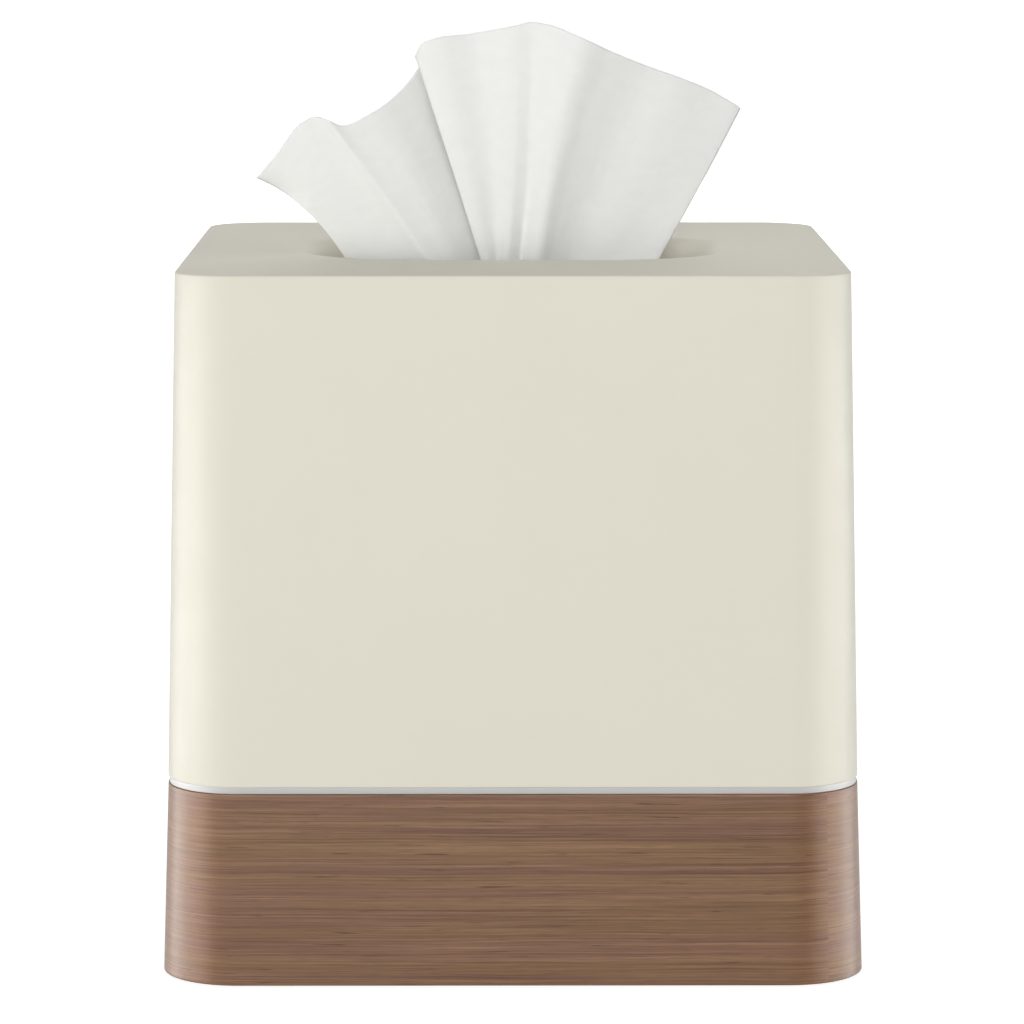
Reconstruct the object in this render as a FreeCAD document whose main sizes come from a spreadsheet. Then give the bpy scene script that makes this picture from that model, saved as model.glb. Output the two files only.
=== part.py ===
import FreeCAD, Part
import math
import os
import Sketcher

# A cube-shaped tissue box cover: an ivory moulded shell with a rolled opening, a thin metal
# trim band and a wood-veneered base, standing over a carton of tissues.
# Millimetres and degrees, +Z up, origin on the floor under the middle of the cover.

Vector = FreeCAD.Vector

# Driving sizes: name, value, meaning.
SIZES = [
    ("base_width", 135.0, "outside width of the base at its foot"),
    ("base_height", 36.9, "height of the veneered base, foot to trim band"),
    ("base_draft", 1.94, "lean of the base's sides"),
    ("base_corner", 15.0, "corner radius at the foot"),
    ("cover_height", 136.0, "floor to the top face"),
    ("shell_draft", 1.29, "lean of the shell's sides"),
    ("shell_wall", 2.5, "wall of the shell's sides"),
    ("top_wall", 2.6, "wall of the shell's top"),
    ("top_edge_round", 0.8, "rounding of the shell's top edge"),
    ("rim_edge_break", 0.3, "chamfer of the shell's outer rim edge"),
    ("opening_length", 86.0, "length of the opening where its lip starts"),
    ("opening_width", 60.4, "width of the opening where its lip starts"),
    ("opening_corner", 25.0, "corner radius of the opening where its lip starts"),
    ("lip_round", 4.4, "radius of the rolled lip"),
    ("lip_depth", 6.4, "depth of the lip's collar below the top face"),
    ("lip_wall", 2.2, "wall of the lip's collar"),
    ("lip_root_break", 1.5, "chamfer where the collar meets the ceiling"),
    ("lip_end_break", 0.6, "chamfer of the collar's lower edges"),
    ("band_height", 1.3, "height of the trim band"),
    ("band_recess", 0.25, "how far the band stands back from the shell"),
    ("band_edge_break", 0.15, "chamfer of the band's outer edges"),
    ("veneer_thickness", 0.7, "thickness of the wood veneer"),
    ("glue_gap", 0.05, "glue film behind the veneer"),
    ("base_wall", 2.2, "wall of the base's sides behind the veneer at their top"),
    ("shoulder", 2.6, "thickness of the base's shoulder under the band"),
    ("spigot_height", 8.0, "reach of the base's spigot into the shell"),
    ("spigot_wall", 2.0, "wall of the spigot"),
    ("spigot_lead", 0.6, "lead-in chamfer on the spigot's end"),
    ("spigot_gap", 0.15, "clearance around the spigot"),
    ("base_inner_corner", 14.0, "corner radius inside the base"),
    ("snap_length", 12.0, "length of one snap barb along the wall"),
    ("snap_rise", 2.6, "height of one snap barb"),
    ("snap_land", 0.9, "upright land at a barb's tip"),
    ("snap_proud", 0.7, "how far a barb stands out of the spigot"),
    ("snap_level", 2.8, "height of the barb's catch above the rim"),
    ("snap_spacing", 62.0, "distance between the two barbs of one side"),
    ("snap_gap", 0.2, "clearance around a barb in its recess"),
    ("foot_diameter", 5.2, "diameter of a foot pad"),
    ("foot_boss_wall", 0.9, "wall around a foot pad's seat"),
    ("foot_boss_height", 8.0, "height of the boss that holds a foot pad's seat"),
    ("foot_boss_inset", 0.75, "distance from the veneer's back to a foot's boss"),
    ("foot_seat", 0.8, "depth of a foot pad's seat in the base"),
    ("foot_proud", 0.8, "how far a foot pad stands below the base"),
    ("foot_gap", 0.1, "clearance around a foot pad in its seat"),
    ("foot_edge_break", 0.3, "chamfer of a foot pad's lower edge"),
    ("carton_gap", 6.0, "clearance between the carton and the base"),
    ("carton_headroom", 2.6, "clearance between the carton and the lip"),
    ("carton_fold", 1.2, "outside radius of the carton's upright folds"),
    ("carton_crease", 0.4, "flat of the carton's top and bottom folds"),
    ("board", 0.6, "thickness of the carton board"),
    ("carton_slot_width", 46.0, "width of the carton's tear-out slot"),
    ("slot_end_flat", 2.0, "straight part of each end of the tear-out slot"),
    ("slot_end_land", 4.0, "film showing past each end of the slit"),
    ("film_thickness", 0.3, "thickness of the slit film"),
    ("film_margin", 7.0, "film glued down around the tear-out slot"),
    ("slit_width", 9.0, "width of the slit as the tissue holds it open"),
    ("slit_end_gap", 7.5, "slit left past each edge of the tissue"),
    ("stack_gap", 1.0, "clearance around the stack in the carton"),
    ("stack_headroom", 4.0, "clearance between the stack and the film"),
    ("stack_floor", 14.0, "thickness of the stack's bend under the tail"),
    ("stack_bend", 18.0, "outside radius of the stack's bends"),
    ("stack_crown", 9.0, "rounding of the tops of the stack's two legs"),
    ("tail_slot", 8.0, "gap between the stack's two legs"),
    ("tail_flat", 0.8, "flat in the middle of the bend under the tail"),
    ("tissue_ply", 0.9, "thickness of the folded tissue"),
    ("tissue_side_gap", 12.5, "clearance from the tissue's edge to the lip at the slit"),
    ("tail_lift", 0.3, "clearance under the tissue's tail"),
    ("tissue_rise", 44.9, "height of the tissue's peak above the top face"),
]

# Places and sizes worked out from the driving ones, as expressions for the document.
BASE_FOOT = "dims.foot_proud"
BASE_TOP = "(dims.foot_proud + dims.base_height)"
RIM = f"({BASE_TOP} + dims.band_height)"
CEILING = "(dims.cover_height - dims.top_wall)"
LIP_END = "(dims.cover_height - dims.lip_depth)"
FOOT_HALF = "(dims.base_width / 2)"
RIM_HALF = f"({FOOT_HALF} - dims.base_height * tan(dims.base_draft))"
RIM_CORNER = "(dims.base_corner - dims.base_height * tan(dims.base_draft))"
HOLE_HALF_X = "(dims.opening_length / 2 - dims.lip_round)"
HOLE_HALF_Y = "(dims.opening_width / 2 - dims.lip_round)"
HOLE_CORNER = "(dims.opening_corner - dims.lip_round)"
SPIGOT_DRAW = "dims.spigot_height * tan(dims.shell_draft)"
SPIGOT_HALF = f"({RIM_HALF} - dims.shell_wall - {SPIGOT_DRAW} - dims.spigot_gap)"
SPIGOT_CORNER = f"({RIM_CORNER} - dims.shell_wall - dims.spigot_gap)"
BASE_INNER_HALF = f"({SPIGOT_HALF} - dims.spigot_wall)"
CATCH = f"({RIM} + dims.snap_level)"
VENEER_BACK = "(dims.veneer_thickness + dims.glue_gap)"
CARTON_HALF = f"({BASE_INNER_HALF} - dims.carton_gap)"
CARTON_TOP = f"({LIP_END} - dims.carton_headroom)"
FILM_TOP = f"({CARTON_TOP} - dims.board)"
FILM_UNDER = f"({FILM_TOP} - dims.film_thickness)"
GATHER_HALF = f"({HOLE_HALF_X} - dims.tissue_side_gap)"
SLIT_HALF = f"({GATHER_HALF} + dims.slit_end_gap)"
CARTON_SLOT_HALF = f"({SLIT_HALF} + dims.slot_end_land)"
STACK_HALF = f"({CARTON_HALF} - dims.board - dims.stack_gap)"
STACK_FOOT = "dims.board"
STACK_TOP = f"({FILM_UNDER} - dims.stack_headroom)"
TAIL_FLOOR = f"({STACK_FOOT} + dims.stack_floor)"
HOLLOW_WALL = f"({VENEER_BACK} + dims.base_wall)"
HOLLOW_TOP = f"({BASE_TOP} - dims.shoulder)"
BOSS_RADIUS = "(dims.foot_diameter / 2 + dims.foot_gap + dims.foot_boss_wall)"
BOSS_TOP_CORNER = "(dims.base_corner - dims.foot_boss_height * tan(dims.base_draft))"
# A foot's place along each axis: its boss stands inside the round corner, clear of the veneer.
FOOT_PLACE = (
    f"({FOOT_HALF} - dims.base_corner"
    f" + ({BOSS_TOP_CORNER} - {VENEER_BACK} - dims.foot_boss_inset - {BOSS_RADIUS}) / sqrt(2))"
)

# The tissue's folds from its left edge to its right edge: place at the slit as a share of the
# gather, lean to the side over its run, rise of its tip above the top face, and depth of the tip.
# A negative depth is a ridge towards the front, a positive one a valley.
TISSUE_FOLDS = [
    {"share": -1.00, "lean": -24.0, "rise": 14.6, "depth": 3.0},
    {"share": -0.42, "lean": -26.1, "rise": 25.8, "depth": -7.0},
    {"share": -0.15, "lean": -15.1, "rise": 39.3, "depth": 7.0},
    {"share": -0.06, "lean": 5.2, "rise": 44.9, "depth": -6.0},
    {"share": 0.12, "lean": 3.7, "rise": 44.4, "depth": -7.5},
    {"share": 0.52, "lean": 14.2, "rise": 36.0, "depth": 2.0},
    {"share": 1.00, "lean": 18.7, "rise": 28.0, "depth": -3.0},
]
# Upper edge of the tissue as a run of stretches: lines, and arcs through a middle point. Each
# point is a place across the tissue and a rise above the top face.
TISSUE_EDGE_START = (-50.5, 14.6)
TISSUE_EDGE = [
    {"to": (-44.0, 23.6)},
    {"by": (-39.0, 26.5), "to": (-33.6, 25.0)},
    {"by": (-24.5, 30.2), "to": (-19.3, 37.5)},
    {"by": (-18.7, 40.4), "to": (-15.6, 41.7)},
    {"to": (3.6, 44.9)},
    {"by": (7.0, 44.5), "to": (10.0, 43.0)},
    {"by": (22.6, 37.1), "to": (36.0, 33.2)},
    {"to": (45.2, 28.0)},
]
# Depth of the folds where the tissue is squeezed in the slit, as a share of the slit's half width.
SLIT_FOLD_SHARE = 0.35
# How far the tools that cut past a face run on beyond it.
OVERRUN = 5.0
# Two lengths closer than this are the same.
SAME = 1e-4


# Document and sheet of sizes
doc = FreeCAD.newDocument("tissue_box_cover")
dims = doc.addObject("Spreadsheet::Sheet", "dims")
for row, (alias, value, meaning) in enumerate(SIZES, start=1):
    dims.set(f"A{row}", alias)
    dims.set(f"B{row}", str(value))
    dims.setAlias(f"B{row}", alias)
    dims.set(f"C{row}", meaning)
doc.recompute()


def number(expression):
    """The value of an expression at the sheet's present sizes."""
    found = dims.evalExpression(expression)
    return float(getattr(found, "Value", found))


def new_body(label):
    body = doc.addObject("PartDesign::Body", label)
    body.Label = label
    return body


def origin_feature(body, role):
    """One of the body's own origin planes or axes."""
    return next(f for f in body.Origin.OriginFeatures if f.Role == role)


def new_sketch(body, name, level=None, plane="XY_Plane"):
    """An empty sketch on one of the body's origin planes, or at a level above it."""
    sketch = body.newObject("Sketcher::SketchObject", name)
    sketch.AttachmentSupport = [(origin_feature(body, plane), "")]
    sketch.MapMode = "FlatFace"
    if level is not None:
        sketch.setExpression("AttachmentOffset.Base.z", level)
    return sketch


def drive(sketch, name, constraint, expression):
    """Adds a constraint with a name and binds its size to an expression."""
    index = sketch.addConstraint(constraint)
    sketch.renameConstraint(index, name)
    sketch.setExpression(f"Constraints.{name}", expression)


def add_rounded_rectangle(sketch, half_x, half_y, corner, tag=""):
    """A closed rounded rectangle about the sketch's origin. The sizes are expressions."""
    a, b, r = number(half_x), number(half_y), number(corner)
    quarter = math.pi / 2
    corners = [(a - r, r - b), (a - r, b - r), (r - a, b - r), (r - a, r - b)]
    sides = []
    arcs = []
    for k, (x, y) in enumerate(corners):
        turn = (k - 1) * quarter
        arc = Part.ArcOfCircle(Part.Circle(Vector(x, y), Vector(0, 0, 1), r), turn, turn + quarter)
        arcs.append(sketch.addGeometry(arc))
        next_x, next_y = corners[(k + 1) % 4]
        out = Vector(math.cos(turn + quarter), math.sin(turn + quarter)) * r
        side = Part.LineSegment(Vector(x, y) + out, Vector(next_x, next_y) + out)
        sides.append(sketch.addGeometry(side))
    for k in range(4):
        sketch.addConstraint(Sketcher.Constraint("Tangent", arcs[k], 2, sides[k], 1))
        sketch.addConstraint(Sketcher.Constraint("Tangent", sides[k], 2, arcs[(k + 1) % 4], 1))
        direction = "Horizontal" if k % 2 else "Vertical"
        sketch.addConstraint(Sketcher.Constraint(direction, sides[k]))
    for k in range(1, 4):
        sketch.addConstraint(Sketcher.Constraint("Equal", arcs[0], arcs[k]))
    sketch.addConstraint(Sketcher.Constraint("Symmetric", arcs[0], 3, arcs[2], 3, -1, 1))
    drive(sketch, f"half_x{tag}", Sketcher.Constraint("DistanceX", -1, 1, sides[0], 1, a), half_x)
    drive(sketch, f"half_y{tag}", Sketcher.Constraint("DistanceY", -1, 1, sides[1], 1, b), half_y)
    drive(sketch, f"corner{tag}", Sketcher.Constraint("Radius", arcs[0], r), corner)


def rounded_square(body, name, level, half, corner):
    """A sketch of a rounded square at a level."""
    sketch = new_sketch(body, name, level)
    add_rounded_rectangle(sketch, half, half, corner)
    return sketch


def ring_sketch(body, name, level, outer_half, outer_corner, inner_half, inner_corner):
    """A sketch of two rounded squares, one inside the other."""
    sketch = rounded_square(body, name, level, outer_half, outer_corner)
    add_rounded_rectangle(sketch, inner_half, inner_half, inner_corner, "_inner")
    return sketch


def add_closed_outline(sketch, points):
    """A closed run of straight lines with every corner placed by two expressions."""
    spots = [Vector(number(x), number(y)) for x, y in points]
    lines = []
    for start, end in zip(spots, spots[1:] + spots[:1]):
        lines.append(sketch.addGeometry(Part.LineSegment(start, end)))
    for k, line in enumerate(lines):
        after = lines[(k + 1) % len(lines)]
        sketch.addConstraint(Sketcher.Constraint("Coincident", line, 2, after, 1))
    first = lines[0]
    for line, spot, (x, y) in zip(lines, spots, points):
        for axis, size, expression in (("X", spot.x, x), ("Y", spot.y, y)):
            constraint = Sketcher.Constraint(f"Distance{axis}", -1, 1, line, 1, size)
            drive(sketch, f"corner_{line - first + 1}_{axis.lower()}_{first}", constraint, expression)


def add_circle(sketch, x, y, radius):
    """A circle placed and sized by expressions."""
    centre = Vector(number(x), number(y))
    circle = sketch.addGeometry(Part.Circle(centre, Vector(0, 0, 1), number(radius)))
    drive(sketch, "place_x", Sketcher.Constraint("DistanceX", -1, 1, circle, 3, centre.x), x)
    drive(sketch, "place_y", Sketcher.Constraint("DistanceY", -1, 1, circle, 3, centre.y), y)
    drive(sketch, "radius", Sketcher.Constraint("Radius", circle, number(radius)), radius)


def extrude(body, name, kind, sketch, length, backwards=False, both_ways=False, lean=None):
    """A pad or a pocket of a sketch, with sides that lean inwards if a lean is given."""
    feature = body.newObject(f"PartDesign::{kind}", name)
    feature.Profile = sketch
    feature.Reversed = backwards
    feature.Midplane = both_ways
    feature.setExpression("Length", length)
    if lean is not None:
        feature.setExpression("TaperAngle", f"-{lean}")
    doc.recompute()
    return feature


def around_axis(body, name, features, count):
    """The features repeated around the upright axis."""
    pattern = body.newObject("PartDesign::PolarPattern", name)
    pattern.Originals = features
    pattern.Axis = (origin_feature(body, "Z_Axis"), [""])
    pattern.Angle = 360
    pattern.Occurrences = count
    body.Tip = pattern
    doc.recompute()
    return pattern


def edges_at(feature, level, keep=None):
    """Names of the edges that lie flat at a level and pass a test on their middle."""
    names = []
    for index, edge in enumerate(feature.Shape.Edges, start=1):
        middle = edge.valueAt((edge.FirstParameter + edge.LastParameter) / 2)
        heights = [middle.z] + [corner.Z for corner in edge.Vertexes]
        flat = all(abs(height - level) < SAME for height in heights)
        if flat and (keep is None or keep(middle)):
            names.append(f"Edge{index}")
    return names


def soften(body, name, kind, feature, edges, size):
    """A fillet or a chamfer on some edges of a feature."""
    if not edges:
        raise ValueError(f"{name} has no edges to work on")
    edging = body.newObject(f"PartDesign::{kind}", name)
    edging.Base = (feature, edges)
    edging.setExpression("Radius" if kind == "Fillet" else "Size", size)
    doc.recompute()
    return edging


def within(reach_x, reach_y):
    """A test for points inside a rectangle about the axis."""
    return lambda point: abs(point.x) < reach_x and abs(point.y) < reach_y


def outside_square(half, corner):
    """A test for points outside a rounded square about the axis."""
    def test(point):
        past_x = max(abs(point.x) - half + corner, 0.0)
        past_y = max(abs(point.y) - half + corner, 0.0)
        return math.hypot(past_x, past_y) > corner
    return test


def make_cover_shell():
    """The ivory shell: leaning sides, a rolled opening in the top and recesses for the snaps."""
    body = new_body("cover_shell")
    rim = rounded_square(body, "shell_rim", RIM, RIM_HALF, RIM_CORNER)
    outside = extrude(body, "shell_outside", "Pad", rim, f"dims.cover_height - {RIM}",
                      lean="dims.shell_draft")
    crest = edges_at(outside, number("dims.cover_height"))
    crested = soften(body, "shell_top_edge", "Fillet", outside, crest, "dims.top_edge_round")
    foot = edges_at(crested, number(RIM))
    soften(body, "shell_rim_edge", "Chamfer", crested, foot, "dims.rim_edge_break")

    mouth = rounded_square(body, "cavity_mouth", RIM, f"{RIM_HALF} - dims.shell_wall",
                           f"{RIM_CORNER} - dims.shell_wall")
    extrude(body, "shell_cavity", "Pocket", mouth, f"{CEILING} - {RIM}", backwards=True,
            lean="dims.shell_draft")

    collar = new_sketch(body, "lip_collar_outline", LIP_END)
    add_rounded_rectangle(collar, f"{HOLE_HALF_X} + dims.lip_wall",
                          f"{HOLE_HALF_Y} + dims.lip_wall", f"{HOLE_CORNER} + dims.lip_wall")
    extrude(body, "lip_collar", "Pad", collar, "dims.lip_depth - dims.top_wall / 2")
    hole = new_sketch(body, "opening_outline", "dims.cover_height")
    add_rounded_rectangle(hole, HOLE_HALF_X, HOLE_HALF_Y, HOLE_CORNER)
    opened = extrude(body, "opening", "Pocket", hole, f"dims.lip_depth + {OVERRUN}")

    reach_x = number(f"{HOLE_HALF_X} + dims.lip_wall / 2")
    reach_y = number(f"{HOLE_HALF_Y} + dims.lip_wall / 2")
    lip = edges_at(opened, number("dims.cover_height"), within(reach_x, reach_y))
    rolled = soften(body, "rolled_lip", "Fillet", opened, lip, "dims.lip_round")
    collar_x = number(f"{HOLE_HALF_X} + dims.lip_wall") + SAME
    collar_y = number(f"{HOLE_HALF_Y} + dims.lip_wall") + SAME
    root = edges_at(rolled, number(CEILING), within(collar_x, collar_y))
    backed = soften(body, "lip_root", "Chamfer", rolled, root, "dims.lip_root_break")
    end = edges_at(backed, number(LIP_END))
    soften(body, "lip_end", "Chamfer", backed, end, "dims.lip_end_break")

    recess = new_sketch(body, "snap_recess_outline", plane="XZ_Plane")
    low = f"{CATCH} - dims.snap_gap"
    high = f"{CATCH} + dims.snap_rise + dims.snap_gap"
    for side in (-1, 1):
        near = f"{side} * (dims.snap_spacing - dims.snap_length) / 2 - {side} * dims.snap_gap"
        far = f"{side} * (dims.snap_spacing + dims.snap_length) / 2 + {side} * dims.snap_gap"
        add_closed_outline(recess, [(near, low), (far, low), (far, high), (near, high)])
    cut = extrude(body, "snap_recess", "Pocket", recess,
                  f"{SPIGOT_HALF} + dims.snap_proud + dims.snap_gap")
    around_axis(body, "snap_recesses", [cut], 4)
    return body


def make_trim_band():
    """The metal band clamped between the shell's rim and the base's shoulder."""
    body = new_body("trim_band")
    ring = ring_sketch(body, "band_outline", BASE_TOP,
                       f"{RIM_HALF} - dims.band_recess", f"{RIM_CORNER} - dims.band_recess",
                       f"{SPIGOT_HALF} + dims.spigot_gap", f"{SPIGOT_CORNER} + dims.spigot_gap")
    band = extrude(body, "band", "Pad", ring, "dims.band_height")
    middle_half = f"({RIM_HALF} - dims.band_recess + {SPIGOT_HALF} + dims.spigot_gap) / 2"
    middle_corner = f"({RIM_CORNER} - dims.band_recess + {SPIGOT_CORNER} + dims.spigot_gap) / 2"
    outside = outside_square(number(middle_half), number(middle_corner))
    edges = edges_at(band, number(BASE_TOP), outside) + edges_at(band, number(RIM), outside)
    soften(body, "band_edges", "Chamfer", band, edges, "dims.band_edge_break")
    return body


def make_base_ring():
    """The moulded base: leaning sides, a shoulder for the band, a spigot with snap barbs and four
    seats for the feet."""
    body = new_body("base_ring")
    outline = rounded_square(body, "core_outline", BASE_FOOT, f"{FOOT_HALF} - {VENEER_BACK}",
                             f"dims.base_corner - {VENEER_BACK}")
    extrude(body, "core", "Pad", outline, "dims.base_height", lean="dims.base_draft")
    hollow = rounded_square(body, "hollow_outline", BASE_FOOT, f"{RIM_HALF} - {HOLLOW_WALL}",
                            f"{RIM_CORNER} - {HOLLOW_WALL}")
    extrude(body, "hollow", "Pocket", hollow, f"{HOLLOW_TOP} - {BASE_FOOT}", backwards=True)
    boss = new_sketch(body, "foot_boss_outline", BASE_FOOT)
    add_circle(boss, FOOT_PLACE, FOOT_PLACE, BOSS_RADIUS)
    post = extrude(body, "foot_boss", "Pad", boss, "dims.foot_boss_height")
    around_axis(body, "foot_bosses", [post], 4)
    inside = rounded_square(body, "base_opening_outline", BASE_TOP, BASE_INNER_HALF,
                            "dims.base_inner_corner")
    extrude(body, "base_opening", "Pocket", inside, f"dims.shoulder + {OVERRUN}")
    spigot = ring_sketch(body, "spigot_outline", f"{BASE_TOP} - dims.shoulder / 2",
                         SPIGOT_HALF, SPIGOT_CORNER, BASE_INNER_HALF, "dims.base_inner_corner")
    extrude(body, "spigot", "Pad", spigot,
            "dims.shoulder / 2 + dims.band_height + dims.spigot_height")

    barbs = []
    root = f"{SPIGOT_HALF} - dims.spigot_wall / 2"
    tip = f"{SPIGOT_HALF} + dims.snap_proud"
    profile = [
        (root, CATCH),
        (tip, CATCH),
        (tip, f"{CATCH} + dims.snap_land"),
        (SPIGOT_HALF, f"{CATCH} + dims.snap_rise"),
        (root, f"{CATCH} + dims.snap_rise"),
    ]
    for side, place in (("left", "-dims.snap_spacing / 2"), ("right", "dims.snap_spacing / 2")):
        ramp = new_sketch(body, f"snap_profile_{side}", place, "YZ_Plane")
        add_closed_outline(ramp, profile)
        barbs.append(extrude(body, f"snap_{side}", "Pad", ramp, "dims.snap_length", both_ways=True))
    snapped = around_axis(body, "snaps", barbs, 4)
    middle_half = number(f"{SPIGOT_HALF} - dims.spigot_wall / 2")
    middle_corner = number(f"({SPIGOT_CORNER} + dims.base_inner_corner) / 2")
    crest = edges_at(snapped, number(f"{RIM} + dims.spigot_height"),
                     outside_square(middle_half, middle_corner))
    soften(body, "spigot_lead_in", "Chamfer", snapped, crest, "dims.spigot_lead")

    seat = new_sketch(body, "foot_seat_outline", BASE_FOOT)
    add_circle(seat, FOOT_PLACE, FOOT_PLACE, "dims.foot_diameter / 2 + dims.foot_gap")
    cut = extrude(body, "foot_seat_cut", "Pocket", seat, "dims.foot_seat", backwards=True)
    around_axis(body, "foot_seats", [cut], 4)
    return body


def make_wood_veneer():
    """The veneer wrapped round the base's sides."""
    body = new_body("wood_veneer")
    outline = rounded_square(body, "veneer_outline", BASE_FOOT, FOOT_HALF, "dims.base_corner")
    extrude(body, "veneer_outside", "Pad", outline, "dims.base_height", lean="dims.base_draft")
    back = rounded_square(body, "veneer_back", BASE_FOOT, f"{FOOT_HALF} - dims.veneer_thickness",
                          "dims.base_corner - dims.veneer_thickness")
    extrude(body, "veneer_inside", "Pocket", back, "dims.base_height", backwards=True,
            lean="dims.base_draft")
    return body


def make_foot_pad(label, side_x, side_y):
    """One round foot pad, standing on the floor in its seat under a corner of the base."""
    body = new_body(label)
    disc = new_sketch(body, f"{label}_outline")
    add_circle(disc, f"{side_x} * {FOOT_PLACE}", f"{side_y} * {FOOT_PLACE}", "dims.foot_diameter / 2")
    pad = extrude(body, f"{label}_disc", "Pad", disc, "dims.foot_proud + dims.foot_seat")
    soften(body, f"{label}_edge", "Chamfer", pad, edges_at(pad, 0.0), "dims.foot_edge_break")
    return body


def make_tissue_carton():
    """The board carton the cover stands over, with its slot torn open."""
    body = new_body("tissue_carton")
    outline = rounded_square(body, "carton_outline", "0", CARTON_HALF, "dims.carton_fold")
    block = extrude(body, "carton_block", "Pad", outline, CARTON_TOP)
    creases = edges_at(block, 0.0) + edges_at(block, number(CARTON_TOP))
    soften(body, "carton_creases", "Chamfer", block, creases, "dims.carton_crease")
    inside = rounded_square(body, "carton_inside_outline", "dims.board", f"{CARTON_HALF} - dims.board",
                            "dims.carton_fold - dims.board")
    extrude(body, "carton_inside", "Pocket", inside, f"{FILM_TOP} - dims.board", backwards=True)
    slot = new_sketch(body, "carton_slot_outline", CARTON_TOP)
    add_rounded_rectangle(slot, CARTON_SLOT_HALF, "dims.carton_slot_width / 2",
                          "(dims.carton_slot_width - dims.slot_end_flat) / 2")
    extrude(body, "carton_slot", "Pocket", slot, f"dims.board + {OVERRUN}")
    return body


def make_slit_film():
    """The clear film glued under the carton's slot, with a slit that holds the next tissue up."""
    body = new_body("slit_film")
    sheet = new_sketch(body, "film_outline", FILM_UNDER)
    add_rounded_rectangle(sheet, f"{CARTON_SLOT_HALF} + dims.film_margin",
                          "dims.carton_slot_width / 2 + dims.film_margin", "dims.film_margin")
    extrude(body, "film", "Pad", sheet, "dims.film_thickness")
    slit = new_sketch(body, "slit_outline", FILM_TOP)
    half = number(SLIT_HALF)
    rise = number("dims.slit_width / 2")
    radius = (half * half + rise * rise) / (2 * rise)
    spread = math.asin(half / radius)
    bows = []
    for turn in (1, -1):
        centre = Vector(0, turn * (rise - radius))
        aim = turn * math.pi / 2
        circle = Part.Circle(centre, Vector(0, 0, 1), radius)
        bows.append(slit.addGeometry(Part.ArcOfCircle(circle, aim - spread, aim + spread)))
    slit.addConstraint(Sketcher.Constraint("Coincident", bows[0], 2, bows[1], 1))
    slit.addConstraint(Sketcher.Constraint("Coincident", bows[1], 2, bows[0], 1))
    slit.addConstraint(Sketcher.Constraint("Symmetric", bows[0], 1, bows[0], 2, -1, 1))
    slit.addConstraint(Sketcher.Constraint("PointOnObject", bows[0], 1, -1))
    slit.addConstraint(Sketcher.Constraint("Equal", bows[0], bows[1]))
    drive(slit, "slit_half", Sketcher.Constraint("DistanceX", -1, 1, bows[0], 1, half), SLIT_HALF)
    drive(slit, "bow", Sketcher.Constraint("Radius", bows[0], radius),
          f"({SLIT_HALF} ^ 2 + (dims.slit_width / 2) ^ 2) / dims.slit_width")
    extrude(body, "slit", "Pocket", slit, f"dims.film_thickness + {OVERRUN}")
    return body


def make_tissue_stack():
    """The folded stack in the carton, bent up on both sides of the front tissue's tail."""
    body = new_body("tissue_stack")
    block = new_sketch(body, "stack_outline", plane="YZ_Plane")
    left = f"-{STACK_HALF}"
    add_closed_outline(block, [(left, STACK_FOOT), (STACK_HALF, STACK_FOOT),
                               (STACK_HALF, STACK_TOP), (left, STACK_TOP)])
    length = f"2 * {STACK_HALF}"
    solid = extrude(body, "stack_block", "Pad", block, length, both_ways=True)
    gap = new_sketch(body, "tail_slot_outline", plane="YZ_Plane")
    add_closed_outline(gap, [("-dims.tail_slot / 2", TAIL_FLOOR), ("dims.tail_slot / 2", TAIL_FLOOR),
                             ("dims.tail_slot / 2", f"{STACK_TOP} + {OVERRUN}"),
                             ("-dims.tail_slot / 2", f"{STACK_TOP} + {OVERRUN}")])
    slotted = extrude(body, "tail_slot_cut", "Pocket", gap, f"{length} + {OVERRUN}", both_ways=True)

    def long_edge(point):
        return abs(point.x) < SAME
    foot = edges_at(slotted, number(STACK_FOOT), long_edge)
    bent = soften(body, "stack_bends", "Fillet", slotted, foot, "dims.stack_bend")
    floor = edges_at(bent, number(TAIL_FLOOR), long_edge)
    lined = soften(body, "tail_slot_bend", "Fillet", bent, floor,
                   "(dims.tail_slot - dims.tail_flat) / 2")
    crown = edges_at(lined, number(STACK_TOP), long_edge)
    soften(body, "stack_crowns", "Fillet", lined, crown, "dims.stack_crown")
    return body


def folded_row(places, depths, level, ply):
    """The front and the back corners, left to right, of a zigzag one ply deep at a level."""
    front = [Vector(x, y - ply / 2, level) for x, y in zip(places, depths)]
    back = [Vector(x, y + ply / 2, level) for x, y in zip(places, depths)]
    return front, back


def flat_face(*corners):
    return Part.Face(Part.makePolygon([*corners, corners[0]]))


def pleated_solid(rows):
    """A solid through rows of corners. Each panel is two flat triangles, since paper doesn't stretch."""
    faces = []
    for front, back in (rows[0], rows[-1]):
        faces.append(flat_face(*front, *back[::-1]))
    for low_row, high_row in zip(rows, rows[1:]):
        for low, high in zip(low_row, high_row):
            for left in range(len(low) - 1):
                right = left + 1
                faces.append(flat_face(low[left], low[right], high[right]))
                faces.append(flat_face(low[left], high[right], high[left]))
        for end in (0, -1):
            faces.append(flat_face(low_row[0][end], low_row[1][end],
                                   high_row[1][end], high_row[0][end]))
    solid = Part.makeSolid(Part.makeShell(faces))
    if solid.Volume < 0:
        solid.reverse()
    return solid.removeSplitter()


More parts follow.
